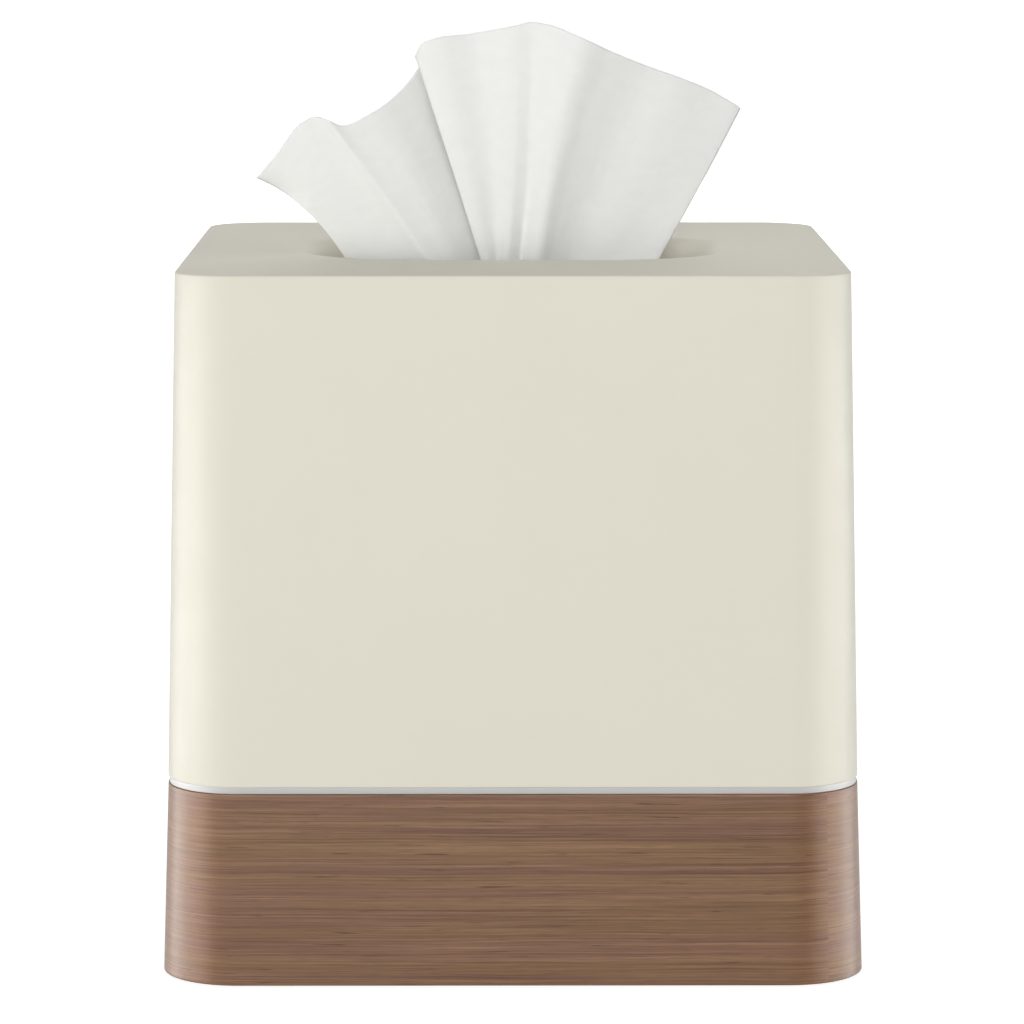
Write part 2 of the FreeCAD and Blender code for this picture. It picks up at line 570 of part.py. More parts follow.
def make_front_tissue():
    """The tissue standing ready: a fan of folds above the slit and a tail down in the stack."""
    ply = number("dims.tissue_ply")
    top = number("dims.cover_height")
    slit_level = number(FILM_TOP)
    tail_end = number(f"{TAIL_FLOOR} + dims.tail_lift")
    squeeze = SLIT_FOLD_SHARE * number("dims.slit_width / 2")
    fan_top = top + number("dims.tissue_rise") + OVERRUN
    gather = number(GATHER_HALF)
    growth = number("dims.tissue_rise") / max(fold["rise"] for fold in TISSUE_FOLDS)

    foot_x = []
    foot_y = []
    crest_x = []
    crest_y = []
    for fold in TISSUE_FOLDS:
        start = fold["share"] * gather
        hold = squeeze * (1 - abs(fold["share"])) * (-1 if fold["depth"] < 0 else 1)
        run = (fan_top - slit_level) / (top + growth * fold["rise"] - slit_level)
        foot_x.append(start)
        foot_y.append(hold)
        crest_x.append(start + run * growth * fold["lean"])
        crest_y.append(hold + run * (growth * fold["depth"] - hold))
    sheet = pleated_solid([
        folded_row(foot_x, foot_y, tail_end, ply),
        folded_row(foot_x, foot_y, slit_level, ply),
        folded_row(crest_x, crest_y, fan_top, ply),
    ])

    def edge_point(place):
        return Vector(growth * place[0], 0, top + growth * place[1])
    reach = 5 * gather
    start = edge_point(TISSUE_EDGE_START)
    edge = [Part.LineSegment(Vector(-reach, 0, start.z), start).toShape()]
    for stretch in TISSUE_EDGE:
        end = edge_point(stretch["to"])
        if "by" in stretch:
            edge.append(Part.Arc(start, edge_point(stretch["by"]), end).toShape())
        else:
            edge.append(Part.LineSegment(start, end).toShape())
        start = end
    beyond = fan_top + OVERRUN
    for end in (Vector(reach, 0, start.z), Vector(reach, 0, beyond), Vector(-reach, 0, beyond),
                edge[0].Vertexes[0].Point):
        edge.append(Part.LineSegment(start, end).toShape())
        start = end
    waste = Part.Face(Part.Wire(edge)).extrude(Vector(0, 2 * reach, 0))
    waste.translate(Vector(0, -reach, 0))
    feature = doc.addObject("Part::Feature", "front_tissue")
    feature.Shape = sheet.cut(waste)
    feature.Label = "front_tissue"
    return feature


parts = [
    make_cover_shell(),
    make_trim_band(),
    make_base_ring(),
    make_wood_veneer(),
    make_foot_pad("foot_pad_front_left", -1, -1),
    make_foot_pad("foot_pad_front_right", 1, -1),
    make_foot_pad("foot_pad_rear_left", -1, 1),
    make_foot_pad("foot_pad_rear_right", 1, 1),
    make_tissue_carton(),
    make_slit_film(),
    make_tissue_stack(),
    make_front_tissue(),
]
doc.recompute()

# Every object must have worked out, and every sub-part must be one sound solid.
for item in doc.Objects:
    if "Invalid" in item.State or "Error" in item.State:
        raise ValueError(f"{item.Label} did not work out: {item.State}")
os.makedirs("parts", exist_ok=True)
for part in parts:
    shape = part.Shape
    if shape.isNull() or not shape.isValid() or len(shape.Solids) != 1:
        raise ValueError(f"{part.Label} is not one sound solid")
    shape.exportStep(f"parts/{part.Label}.step")
    box = shape.BoundBox
    print(part.Label, round(shape.Volume, 1), len(shape.Faces), "faces",
          "x", round(box.XMin, 2), round(box.XMax, 2), "y", round(box.YMin, 2), round(box.YMax, 2),
          "z", round(box.ZMin, 2), round(box.ZMax, 2))
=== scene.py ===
import math

import bmesh
import bpy
import numpy as np
from bpy.props import FloatProperty, FloatVectorProperty, IntProperty, PointerProperty
from mathutils import Euler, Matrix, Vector, noise


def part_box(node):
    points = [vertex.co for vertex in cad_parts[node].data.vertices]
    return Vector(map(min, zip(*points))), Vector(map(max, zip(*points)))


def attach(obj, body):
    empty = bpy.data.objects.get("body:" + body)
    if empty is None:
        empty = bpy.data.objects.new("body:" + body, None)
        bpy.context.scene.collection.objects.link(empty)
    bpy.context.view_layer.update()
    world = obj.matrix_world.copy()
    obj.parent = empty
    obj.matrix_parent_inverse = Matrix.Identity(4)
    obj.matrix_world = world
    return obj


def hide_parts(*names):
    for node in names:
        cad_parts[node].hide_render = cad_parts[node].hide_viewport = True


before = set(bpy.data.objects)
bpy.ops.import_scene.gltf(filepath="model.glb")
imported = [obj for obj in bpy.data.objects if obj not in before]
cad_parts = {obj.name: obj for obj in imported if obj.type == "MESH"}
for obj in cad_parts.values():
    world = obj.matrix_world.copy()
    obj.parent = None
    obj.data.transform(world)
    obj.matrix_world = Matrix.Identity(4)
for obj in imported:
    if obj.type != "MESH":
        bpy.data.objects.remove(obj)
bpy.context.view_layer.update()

bl_info = {
    "name": "Tissue Box Cover",
    "version": (1, 0, 0),
    "blender": (4, 5, 0),
    "location": "View3D > Sidebar > Tissue Cover",
    "description": "Dresses the solids of a tissue box cover: shell, band, veneer, carton and tissues",
    "category": "Add Mesh",
}

MM = 0.001
QUARTER = math.pi / 2


# Settings

def length(name, description, mm):
    """A size property. Its default is given in millimetres."""
    return FloatProperty(name=name, description=description, default=mm * MM, min=0.0,
                         unit="LENGTH", precision=5)


def angle(name, description, radians):
    return FloatProperty(name=name, description=description, default=radians, unit="ROTATION")


def count(name, description, default):
    return IntProperty(name=name, description=description, default=default, min=1)


def level(name, description, default):
    return FloatProperty(name=name, description=description, default=default, min=0.0)


def share(name, description, default):
    return FloatProperty(name=name, description=description, default=default, min=0.0, max=1.0,
                         subtype="FACTOR")


def colour(name, description, rgb):
    return FloatVectorProperty(name=name, description=description, default=rgb, size=3, min=0.0,
                               max=1.0, subtype="COLOR")


def watts(name, description, default):
    return FloatProperty(name=name, description=description, default=default, min=0.0, unit="POWER")


class CoverSizes(bpy.types.PropertyGroup):
    """Sizes of the shell, band and base that their boxes don't tell"""
    rim_corner: length("Rim Corner", "Corner radius of the shell's rim", 13.75)
    shell_draft: angle("Shell Draft", "Lean of the shell's sides", math.radians(1.29))
    shell_wall: length("Shell Wall", "Wall of the shell's sides", 2.5)
    top_wall: length("Top Wall", "Wall of the shell's top", 2.6)
    top_round: length("Top Edge", "Rounding of the shell's top edge", 0.4)
    rim_round: length("Rim Edge", "Rounding of the shell's lower edge", 0.12)
    opening_length: length("Opening Length", "Length of the opening where its lip starts", 86.0)
    opening_width: length("Opening Width", "Width of the opening where its lip starts", 60.4)
    opening_corner: length("Opening Corner", "Corner radius where the lip starts", 25.0)
    lip_round: length("Lip Roll", "Radius of the rolled lip", 4.4)
    lip_depth: length("Lip Depth", "Depth of the collar below the top face", 6.4)
    lip_wall: length("Lip Wall", "Wall of the collar", 2.2)
    lip_break: length("Lip End", "Chamfer of the collar's lower edges", 0.6)
    lip_root: length("Lip Root", "Chamfer where the collar meets the ceiling", 1.5)
    band_depth: length("Band Depth", "Width of the band from its outside to its inside", 2.43)
    band_round: length("Band Edge", "Rounding of the band's edges", 0.08)
    base_corner: length("Base Corner", "Corner radius of the veneer at the foot", 15.0)
    base_draft: angle("Base Draft", "Lean of the base's sides", math.radians(1.94))
    veneer: length("Veneer", "Thickness of the veneer", 0.7)
    veneer_joint: length("Veneer Joint", "Way from the middle of the rear, by the left, to the joint",
                         317.0)
    veneer_round: length("Veneer Edge", "Rounding of the veneer's edges", 0.2)


class CoverFinishes(bpy.types.PropertyGroup):
    """Colours of the finishes"""
    ivory: colour("Ivory", "Moulded shell", (0.690, 0.660, 0.557))
    silver: colour("Silver", "Trim band", (0.46, 0.46, 0.452))
    wood_warm: colour("Warm Wood", "Yellowish bands of the veneer", (0.204, 0.108, 0.049))
    wood_rose: colour("Rose Wood", "Pinkish bands of the veneer", (0.197, 0.098, 0.057))
    wood_dark: colour("Dark Grain", "Dark flames of the grain", (0.080, 0.032, 0.014))
    wood_light: colour("Light Grain", "Light hairlines of the grain", (0.335, 0.198, 0.102))
    core: colour("Core", "Moulded base behind the veneer", (0.09, 0.06, 0.045))
    rubber: colour("Rubber", "Foot pads", (0.52, 0.50, 0.47))
    board: colour("Board", "Outside of the carton", (0.78, 0.77, 0.73))
    board_core: colour("Board Core", "Cut edges and inside of the carton", (0.55, 0.49, 0.40))
    board_seam: colour("Board Seam", "Seam between the base flaps", (0.12, 0.10, 0.08))
    film: colour("Film", "Clear film under the carton's slot", (0.90, 0.92, 0.93))
    tissue: colour("Tissue", "Creped tissue", (0.88, 0.885, 0.865))


class CartonSizes(bpy.types.PropertyGroup):
    """Sizes of the carton's creases and of its torn-out slot"""
    crease: length("Crease", "Width of the rubbed strip along a crease", 0.4)
    film_margin: length("Film Margin", "How far the film reaches past the slot", 7.0)
    slot_flat: length("Slot Flat", "Half length of the straight part at the slot's ends", 1.0)
    nib: length("Nib", "Size of a torn nib", 0.55)
    nib_tip: length("Nib Tip", "Radius of a nib's tip", 0.08)
    nibs: count("Nibs", "Torn nibs round the slot", 96)


class TissueSizes(bpy.types.PropertyGroup):
    """Sizes of the tissue that stands ready and of the stack below it"""
    flat_width: length("Flat Width", "Width of the tissue laid flat", 190.0)
    flat_length: length("Flat Length", "Length of the tissue laid flat", 200.0)
    ply: length("Ply", "Thickness of the two plies together", 0.25)
    columns: count("Columns", "Faces across the tissue", 250)
    fan_rows: count("Fan Rows", "Faces up the fan", 112)
    tail_rows: count("Tail Rows", "Faces down the tail", 56)
    turn: angle("Turn", "How far the fan is turned to the right above the slit", math.radians(12.5))
    gathers: count("Gathers", "Small pleats squeezed in the slit", 19)
    slit_half: length("Slit Half", "Half length of the slit in the film", 33.6)
    slit_gap: length("Slit Gap", "Half width of the slit at its middle", 4.5)
    leaves: count("Leaves", "Folded leaves in each leg of the stack", 56)
    leaf: share("Leaf", "Thickness of a leaf as a share of its pitch", 0.72)
    leaf_sink: share("Leaf Sink", "Fall of a leaf's bend as a share of its way out", 0.28)
    leaf_wander: length("Leaf Wander", "How much lower the top of a leaf may end", 0.8)
    leaf_ripple: length("Leaf Ripple", "How far a leaf waves", 1.2)
    tail_slot: length("Tail Slot", "Half gap between the stack's legs", 4.0)
    stack_floor: length("Stack Floor", "Height of the innermost bend in the stack", 14.0)
    stack_crown: length("Stack Crown", "Rounding of the tops of the legs", 9.0)


class StageSettings(bpy.types.PropertyGroup):
    """Camera and light of the studio"""
    camera_place: FloatVectorProperty(name="Camera", description="Place of the camera", size=3,
                                      default=(-0.00344, -0.90477, 0.21195), unit="LENGTH")
    camera_pitch: angle("Pitch", "How far the camera looks down", 0.1424)
    camera_yaw: angle("Yaw", "How far the camera looks to the right", 0.0038)
    camera_lens: level("Lens", "Focal length on a 36 mm sensor, in mm", 158.63)
    horizon: level("Horizon", "Light from all round at the horizon", 0.12)
    zenith: level("Zenith", "Light from straight above", 0.45)
    room_front: level("Room in Front", "Brightness of the room in front, seen in gloss", 0.30)
    room_rear: level("Room Behind", "Brightness of the room behind, seen in gloss", 1.3)
    key: watts("Key", "Power of the large front light", 31.0)
    overhead: watts("Overhead", "Power of the light above", 1.6)
    left_fill: watts("Left Fill", "Power of the left light", 1.6)
    right_fill: watts("Right Fill", "Power of the right light", 3.4)
    left_gloss: watts("Left Gloss", "Power of the left panel, seen only in gloss", 4.6)
    right_gloss: watts("Right Gloss", "Power of the right panel, seen only in gloss", 3.8)
    rear: watts("Rear", "Power of the light behind", 15.0)
    floor_pale: share("Floor", "Floor as it lights the object", 0.80)
    floor_shaded: share("Floor Shade", "Part of the seen floor that takes a shadow", 0.45)
    floor_glow: share("Floor Glow", "Part of the seen floor that is white by itself", 0.90)
    floor_reach: level("Floor Reach", "Half width of the floor, in metres", 8.0)


class TissueCover(bpy.types.PropertyGroup):
    """All settings of the tissue box cover"""
    sizes: PointerProperty(type=CoverSizes)
    finishes: PointerProperty(type=CoverFinishes)
    carton: PointerProperty(type=CartonSizes)
    tissue: PointerProperty(type=TissueSizes)
    stage: PointerProperty(type=StageSettings)


# Meshes

def rounded_outline(half_x, half_y, corner, corner_steps=24, side_steps=8):
    """Points of a rounded rectangle, from the middle of its rear side round by the left."""
    centres = [(corner - half_x, half_y - corner), (corner - half_x, corner - half_y),
               (half_x - corner, corner - half_y), (half_x - corner, half_y - corner)]
    arcs = []
    for turn, (x, y) in enumerate(centres):
        angles = QUARTER * (1 + turn + np.arange(corner_steps + 1) / corner_steps)
        arcs.append(np.stack([x + corner * np.cos(angles), y + corner * np.sin(angles)], axis=1))
    points = []
    for arc, after in zip(arcs, arcs[1:] + arcs[:1]):
        points.extend(arc)
        for step in range(1, side_steps):
            points.append(arc[-1] + (after[0] - arc[-1]) * step / side_steps)
    return np.roll(np.array(points), side_steps // 2, axis=0)


def at_level(outline, z):
    return np.column_stack([outline, np.full(len(outline), z)])


def way_round(loop):
    """Lengths of the steps round a closed loop of points."""
    return np.linalg.norm(np.roll(loop, -1, axis=0) - loop, axis=1)


def quarter_round(steps):
    """Pairs that run from (0, 1) to (1, 0) along a quarter circle."""
    angles = QUARTER * np.arange(steps + 1) / steps
    return np.column_stack([np.sin(angles), np.cos(angles)])


def new_piece(name, mesh, material, body, slot, *replaced):
    """An object for a finished mesh that rides on a body and stands for some nodes."""
    piece = bpy.data.objects.new(name, mesh)
    bpy.context.scene.collection.objects.link(piece)
    mesh.materials.clear()
    mesh.materials.append(material)
    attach(piece, body)
    if replaced:
        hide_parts(*replaced)
    return piece


def smooth(mesh):
    mesh.polygons.foreach_set("use_smooth", np.ones(len(mesh.polygons), dtype=bool))
    mesh.update()


def smooth_below(mesh, degrees):
    """Smooth shading with sharp edges where faces meet at more than an angle."""
    smooth(mesh)
    mesh.set_sharp_from_angle(angle=math.radians(degrees))
    mesh.update()


def four_corners(grid):
    """The four corners of each face of a grid."""
    return np.stack([grid[:-1, :-1], grid[:-1, 1:], grid[1:, 1:], grid[1:, :-1]], axis=2)


def grid_mesh(name, points, index, map_name, across, up):
    """A mesh of four-sided faces on a grid of point numbers, with a UV map of the ways across and
    up the grid, in metres."""
    mesh = bpy.data.meshes.new(name)
    mesh.from_pydata(points.tolist(), [], four_corners(index).reshape(-1, 4).tolist())
    ways = np.stack(np.meshgrid(across, up), axis=-1)
    layer = mesh.uv_layers.new(name=map_name)
    layer.data.foreach_set("uv", four_corners(ways).reshape(-1))
    return mesh


def lofted_ring(name, loops):
    """A closed ring of faces through loops of points, with its outside facing out. Its UV map
    holds the way round and the way over the ring."""
    loops = np.array(loops)
    index = np.arange(loops.shape[0] * loops.shape[1]).reshape(loops.shape[:2])
    mesh = grid_mesh(name, loops.reshape(-1, 3), np.pad(index, ((0, 1), (0, 1)), mode="wrap"), "run",
                     np.concatenate([[0.0], np.cumsum(way_round(loops[0]))]),
                     np.concatenate([[0.0], np.cumsum(way_round(loops[:, 0]))]))
    shape = bmesh.new()
    shape.from_mesh(mesh)
    bmesh.ops.recalc_face_normals(shape, faces=shape.faces)
    shape.to_mesh(mesh)
    shape.free()
    smooth_below(mesh, 40.0)
    return mesh


# Node trees

# Sockets of a Mix node that hold colours.
MIX_FIRST, MIX_SECOND, MIX_RESULT = 6, 7, 2


def fill(tree, node, inputs):
    """Sets inputs of a node to values, or links them from sockets."""
    for key, value in inputs.items():
        if isinstance(value, bpy.types.NodeSocket):
            tree.links.new(value, node.inputs[key])
        else:
            node.inputs[key].default_value = value


def put(tree, kind, inputs=None, **settings):
    """Adds a node with its settings and its inputs."""
    made = tree.nodes.new(kind)
    for key, value in settings.items():
        setattr(made, key, value)
    fill(tree, made, inputs or {})
    return made


def out(tree, kind, inputs=None, **settings):
    """Adds a node and gives its first output."""
    return put(tree, kind, inputs, **settings).outputs[0]


def calc(tree, operation, first, second=0.0):
    return out(tree, "ShaderNodeMath", {0: first, 1: second}, operation=operation)


def vector_of(tree, **axes):
    return out(tree, "ShaderNodeCombineXYZ", axes)


def new_shader(name):
    """A material with a plain shader: the material, its tree and the shader."""
    material = bpy.data.materials.new(name)
    material.use_nodes = True
    tree = material.node_tree
    return material, tree, tree.nodes["Principled BSDF"]


def opaque(rgb):
    return (*rgb, 1.0)


def noise_of(tree, vector, scale, detail=2.0, roughness=0.5, location=(0.0, 0.0, 0.0)):
    """Noise between 0 and 1. A scale of three numbers stretches it by its own amount on each axis."""
    if isinstance(scale, tuple):
        vector = out(tree, "ShaderNodeMapping", {"Vector": vector, "Scale": scale,
                                                 "Location": location})
        scale = 1.0
    return out(tree, "ShaderNodeTexNoise", {"Vector": vector, "Scale": scale, "Detail": detail,
                                            "Roughness": roughness})


def ranged(tree, value, low, high, to_low=0.0, to_high=1.0, soft=False):
    """A value mapped from one range to another."""
    return out(tree, "ShaderNodeMapRange", {"Value": value, "From Min": low, "From Max": high,
                                            "To Min": to_low, "To Max": to_high},
               interpolation_type="SMOOTHSTEP" if soft else "LINEAR")


def blended(tree, factor, first, second):
    """One colour laid over another by a factor."""
    made = put(tree, "ShaderNodeMix", data_type="RGBA")
    fill(tree, made, {0: factor, MIX_FIRST: first, MIX_SECOND: second})
    return made.outputs[MIX_RESULT]


def toned(tree, factor, rgb, low, high):
    """A colour that drifts between two tones of itself."""
    return blended(tree, factor, opaque(Vector(rgb) * low), opaque(Vector(rgb) * high))


def bumped(tree, shader, height, distance, strength):
    """Relief on a shader from a height between 0 and 1."""
    fill(tree, shader, {"Normal": out(tree, "ShaderNodeBump", {
        "Height": height, "Distance": distance, "Strength": strength})})


def object_place(tree):
    return put(tree, "ShaderNodeTexCoord").outputs["Object"]


# Materials

def ivory_plastic(finishes):
    """Satin moulded plastic: fine spark texture and a faint drift of tone."""
    material, tree, shader = new_shader("ivory_plastic")
    place = object_place(tree)
    spark = noise_of(tree, place, 2600.0, 3.0, 0.6)
    patch = noise_of(tree, place, 160.0)
    fill(tree, shader, {
        "Base Color": toned(tree, noise_of(tree, place, 22.0), finishes.ivory, 0.985, 1.015),
        "Roughness": calc(tree, "ADD", ranged(tree, spark, 0.3, 0.7, -0.03, 0.03),
                          ranged(tree, patch, 0.3, 0.7, 0.54, 0.58))})
    bumped(tree, shader, spark, 0.02 * MM, 0.35)
    return material


def brushed_silver(finishes):
    """Satin silver with fine brushing along the band."""
    material, tree, shader = new_shader("brushed_silver")
    lines = noise_of(tree, object_place(tree), (45.0, 45.0, 7000.0), 3.0, 0.6)
    fill(tree, shader, {"Base Color": toned(tree, lines, finishes.silver, 0.94, 1.05),
                        "Roughness": ranged(tree, lines, 0.2, 0.8, 0.56, 0.70), "Metallic": 0.2})
    bumped(tree, shader, lines, 0.01 * MM, 0.3)
    return material


# Layers of the veneer's grain: how often each changes along and across it, per metre.
GRAIN_LAYERS = {
    "bands": {"scale": (4.0, 210.0, 1.0), "roughness": 0.55},
    "shades": {"scale": (6.0, 640.0, 1.0), "location": (2.7, 8.3, 0.0)},
    "streaks": {"scale": (22.0, 3000.0, 1.0), "detail": 4.0, "roughness": 0.6},
    "fibres": {"scale": (150.0, 6200.0, 1.0), "roughness": 0.6},
    "flames": {"scale": (64.0, 1900.0, 1.0), "location": (4.3, 1.7, 0.0), "detail": 3.0,
               "roughness": 0.6},
    "hairs": {"scale": (13.0, 3800.0, 1.0), "location": (9.1, 6.2, 0.0)},
    "pores": {"scale": (150.0, 5200.0, 1.0), "detail": 1.0},
}
# Tones laid over the bands in turn: the layer, where in it the tone starts and is full, how much of
# the tone there is then, and whether it comes in softly.
GRAIN_TONES = [
    ("wood_dark", "shades", 0.50, 0.68, 0.34, True),
    ("wood_light", "shades", 0.46, 0.32, 0.30, True),
    ("wood_dark", "streaks", 0.50, 0.70, 0.66, False),
    ("wood_light", "streaks", 0.48, 0.30, 0.55, False),
    ("wood_dark", "flames", 0.63, 0.70, 0.95, True),
    ("wood_light", "hairs", 0.62, 0.72, 0.65, True),
    ("wood_dark", "fibres", 0.50, 0.75, 0.45, False),
    ("wood_dark", "pores", 0.66, 0.80, 0.50, True),
]


def walnut_veneer(finishes, around, joint):
    """Straight-grained veneer under satin lacquer: one strip wrapped round, its ends meeting at a
    joint. The grain is drawn along the piece's own run, whose whole length is given."""
    material, tree, shader = new_shader("walnut_veneer")
    run = out(tree, "ShaderNodeUVMap", uv_map="run")
    along = put(tree, "ShaderNodeSeparateXYZ", {"Vector": run}).outputs["X"]
    past = calc(tree, "MULTIPLY", calc(tree, "GREATER_THAN", along, joint), -around)
    sway = ranged(tree, noise_of(tree, run, (22.0, 70.0, 1.0)), 0.2, 0.8, -0.3 * MM, 0.3 * MM)
    grain = out(tree, "ShaderNodeVectorMath", {0: run, 1: vector_of(tree, X=past, Y=sway)},
                operation="ADD")
    layers = {name: noise_of(tree, grain, **layer) for name, layer in GRAIN_LAYERS.items()}
    tone = blended(tree, ranged(tree, layers["bands"], 0.40, 0.60, soft=True),
                   opaque(finishes.wood_rose), opaque(finishes.wood_warm))
    for finish, name, start, full, amount, soft in GRAIN_TONES:
        shows = ranged(tree, layers[name], start, full, 0.0, amount, soft)
        tone = blended(tree, shows, tone, opaque(getattr(finishes, finish)))
    fill(tree, shader, {"Base Color": tone, "Specular IOR Level": 0.28,
                        "Roughness": ranged(tree, layers["fibres"], 0.2, 0.8, 0.36, 0.46)})
    pits = ranged(tree, layers["pores"], 0.6, 0.8, 0.0, 0.6)
    bumped(tree, shader, calc(tree, "SUBTRACT", layers["streaks"], pits), 0.04 * MM, 0.35)
    return material


def base_plastic(finishes):
    """Matte dark plastic with a coarse moulded texture."""
    material, tree, shader = new_shader("base_plastic")
    place = object_place(tree)
    spark = noise_of(tree, place, 1500.0, 3.0, 0.6)
    fill(tree, shader, {
        "Base Color": toned(tree, noise_of(tree, place, 40.0), finishes.core, 0.85, 1.2),
        "Roughness": ranged(tree, spark, 0.2, 0.8, 0.55, 0.72)})
    bumped(tree, shader, spark, 0.04 * MM, 0.5)
    return material


def foot_rubber(finishes):
    """Soft grey rubber, a little dusty."""
    material, tree, shader = new_shader("foot_rubber")
    dust = noise_of(tree, object_place(tree), 900.0, 4.0, 0.65)
    fill(tree, shader, {"Base Color": toned(tree, dust, finishes.rubber, 0.8, 1.12),
                        "Roughness": ranged(tree, dust, 0.2, 0.8, 0.75, 0.92)})
    bumped(tree, shader, dust, 0.05 * MM, 0.5)
    return material


def carton_board(finishes, half, height, crease):
    """Coated board: fibre flecks, rubbed creases, a grey-brown core and the base flaps' seam."""
    material, tree, shader = new_shader("carton_board")
    place = object_place(tree)
    axes = put(tree, "ShaderNodeSeparateXYZ", {"Vector": place}).outputs
    across, along = (calc(tree, "ABSOLUTE", axes[name]) for name in "XY")
    fibre = noise_of(tree, place, 700.0, 4.0, 0.65)
    fleck = noise_of(tree, place, (900.0, 900.0, 350.0), 1.0)
    core = opaque(finishes.board_core)
    tone = toned(tree, fibre, finishes.board, 0.94, 1.04)
    tone = blended(tree, ranged(tree, fleck, 0.70, 0.78, 0.0, 0.30, True), tone, core)

    walls = ranged(tree, calc(tree, "MAXIMUM", across, along), half - 0.2 * MM, half - 0.3 * MM)
    floor = ranged(tree, axes["Z"], 0.3 * MM, 0.4 * MM)
    ceiling = ranged(tree, axes["Z"], height - 0.2 * MM, height - 0.3 * MM)
    inner = calc(tree, "MULTIPLY", walls, calc(tree, "MULTIPLY", floor, ceiling))
    tone = blended(tree, inner, tone, core)

    corner = ranged(tree, calc(tree, "MINIMUM", across, along), half - 3 * crease, half - crease)
    rub = calc(tree, "MULTIPLY", corner, ranged(tree, fibre, 0.4, 0.7, 0.0, 0.5))
    tone = blended(tree, rub, tone, opaque(Vector(finishes.board) * 1.1))

    under = ranged(tree, axes["Z"], 0.4 * MM, 0.2 * MM, 0.0, 0.8)
    seam = calc(tree, "MULTIPLY", ranged(tree, along, 0.4 * MM, 0.2 * MM), under)
    tone = blended(tree, seam, tone, opaque(finishes.board_seam))
    fill(tree, shader, {"Base Color": tone, "Roughness": ranged(tree, fibre, 0.2, 0.8, 0.55, 0.75)})
    bumped(tree, shader, fibre, 0.04 * MM, 0.35)
    return material


def clear_film(finishes):
    """Thin film with faint draw lines and wrinkles."""
    material, tree, shader = new_shader("clear_film")
    place = object_place(tree)
    wrinkle = noise_of(tree, place, (60.0, 160.0, 1.0), 3.0, 0.6)
    lines = noise_of(tree, place, (40.0, 2600.0, 1.0), 1.0)
    fill(tree, shader, {"Base Color": toned(tree, lines, finishes.film, 0.95, 1.0),
                        "Roughness": ranged(tree, lines, 0.2, 0.8, 0.14, 0.24),
                        "Alpha": ranged(tree, wrinkle, 0.2, 0.8, 0.30, 0.42)})
    bumped(tree, shader, wrinkle, 0.3 * MM, 0.4)
    return material


def creped_tissue(finishes, name, map_name):
    """Soft creped paper: fine crepe lines across the sheet, loose fibres and a faint cloud. It is
    drawn on the sheet's own UV map, if it has one."""
    material, tree, shader = new_shader(name)
    if map_name:
        sheet = out(tree, "ShaderNodeUVMap", uv_map=map_name)
    else:
        sheet = object_place(tree)
    crepe = noise_of(tree, sheet, (700.0, 3600.0, 700.0), 2.0, 0.6)
    fibres = noise_of(tree, sheet, (1900.0, 1300.0, 1500.0), 3.0, 0.7)
    cloud = noise_of(tree, sheet, (160.0, 160.0, 160.0), 3.0)
    tone = toned(tree, ranged(tree, cloud, 0.3, 0.7), finishes.tissue, 0.985, 1.01)
    tone = blended(tree, ranged(tree, fibres, 0.55, 0.75, 0.0, 0.35), tone,
                   opaque(Vector(finishes.tissue) * 0.93))
    fill(tree, shader, {"Base Color": tone, "Roughness": ranged(tree, crepe, 0.2, 0.8, 0.82, 0.95),
                        "Specular IOR Level": 0.06, "Sheen Weight": 0.06, "Sheen Roughness": 0.5})
    relief = calc(tree, "ADD", crepe, calc(tree, "MULTIPLY", fibres, 0.6))
    bumped(tree, shader, relief, 0.05 * MM, 0.5)
    return material


def paint(node_name, material):
    """Gives a solid that stays in view its finish."""
    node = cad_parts[node_name]
    if not node.material_slots:
        node.data.materials.append(material)
    for place in node.material_slots:
        place.material = material


# Geometry node trees

def new_tree(name, inputs):
    """A geometry node tree with named inputs, listed by kind: the tree and its group input and
    output nodes."""
    tree = bpy.data.node_groups.new(name, "GeometryNodeTree")
    for kind, labels in inputs.items():
        for label in labels:
            tree.interface.new_socket(label, in_out="INPUT", socket_type=f"NodeSocket{kind}")
    tree.interface.new_socket("Geometry", in_out="OUTPUT", socket_type="NodeSocketGeometry")
    return tree, tree.nodes.new("NodeGroupInput").outputs, tree.nodes.new("NodeGroupOutput")


def finish_tree(tree, result, given, ending):
    """Ends a tree: instances made real, one material, out."""
    real = out(tree, "GeometryNodeRealizeInstances", {"Geometry": result})
    coated = out(tree, "GeometryNodeSetMaterial", {"Geometry": real, "Material": given["Material"]})
    tree.links.new(coated, ending.inputs["Geometry"])
    return tree


def mesh_from_tree(tree, values):
    """The plain mesh that a tree makes from some input values."""
    holder = bpy.data.objects.new(tree.name, bpy.data.meshes.new(tree.name))
    bpy.context.scene.collection.objects.link(holder)
    modifier = holder.modifiers.new(tree.name, "NODES")
    modifier.node_group = tree
    for item in tree.interface.items_tree:
        if item.item_type == "SOCKET" and item.in_out == "INPUT":
            modifier[item.identifier] = values[item.name]
    graph = bpy.context.evaluated_depsgraph_get()
    mesh = bpy.data.meshes.new_from_object(holder.evaluated_get(graph))
    mesh.name = tree.name
    holder.modifiers.remove(modifier)
    bpy.data.objects.remove(holder)
    if not mesh.polygons:
        raise RuntimeError(f"{tree.name} made no faces")
    return mesh


def rectangle(tree, width, height):
    return out(tree, "GeometryNodeCurvePrimitiveQuadrilateral", {"Width": width, "Height": height})


def filleted(tree, curve, radius, steps, limited=False):
    """A curve of straight parts with its corners rounded."""
    return out(tree, "GeometryNodeFilletCurve", {"Curve": curve, "Radius": radius, "Count": steps,
                                                 "Limit Radius": limited}, mode="POLY")


def swept(tree, curve, profile, caps=False):
    return out(tree, "GeometryNodeCurveToMesh", {"Curve": curve, "Profile Curve": profile,
                                                 "Fill Caps": caps})


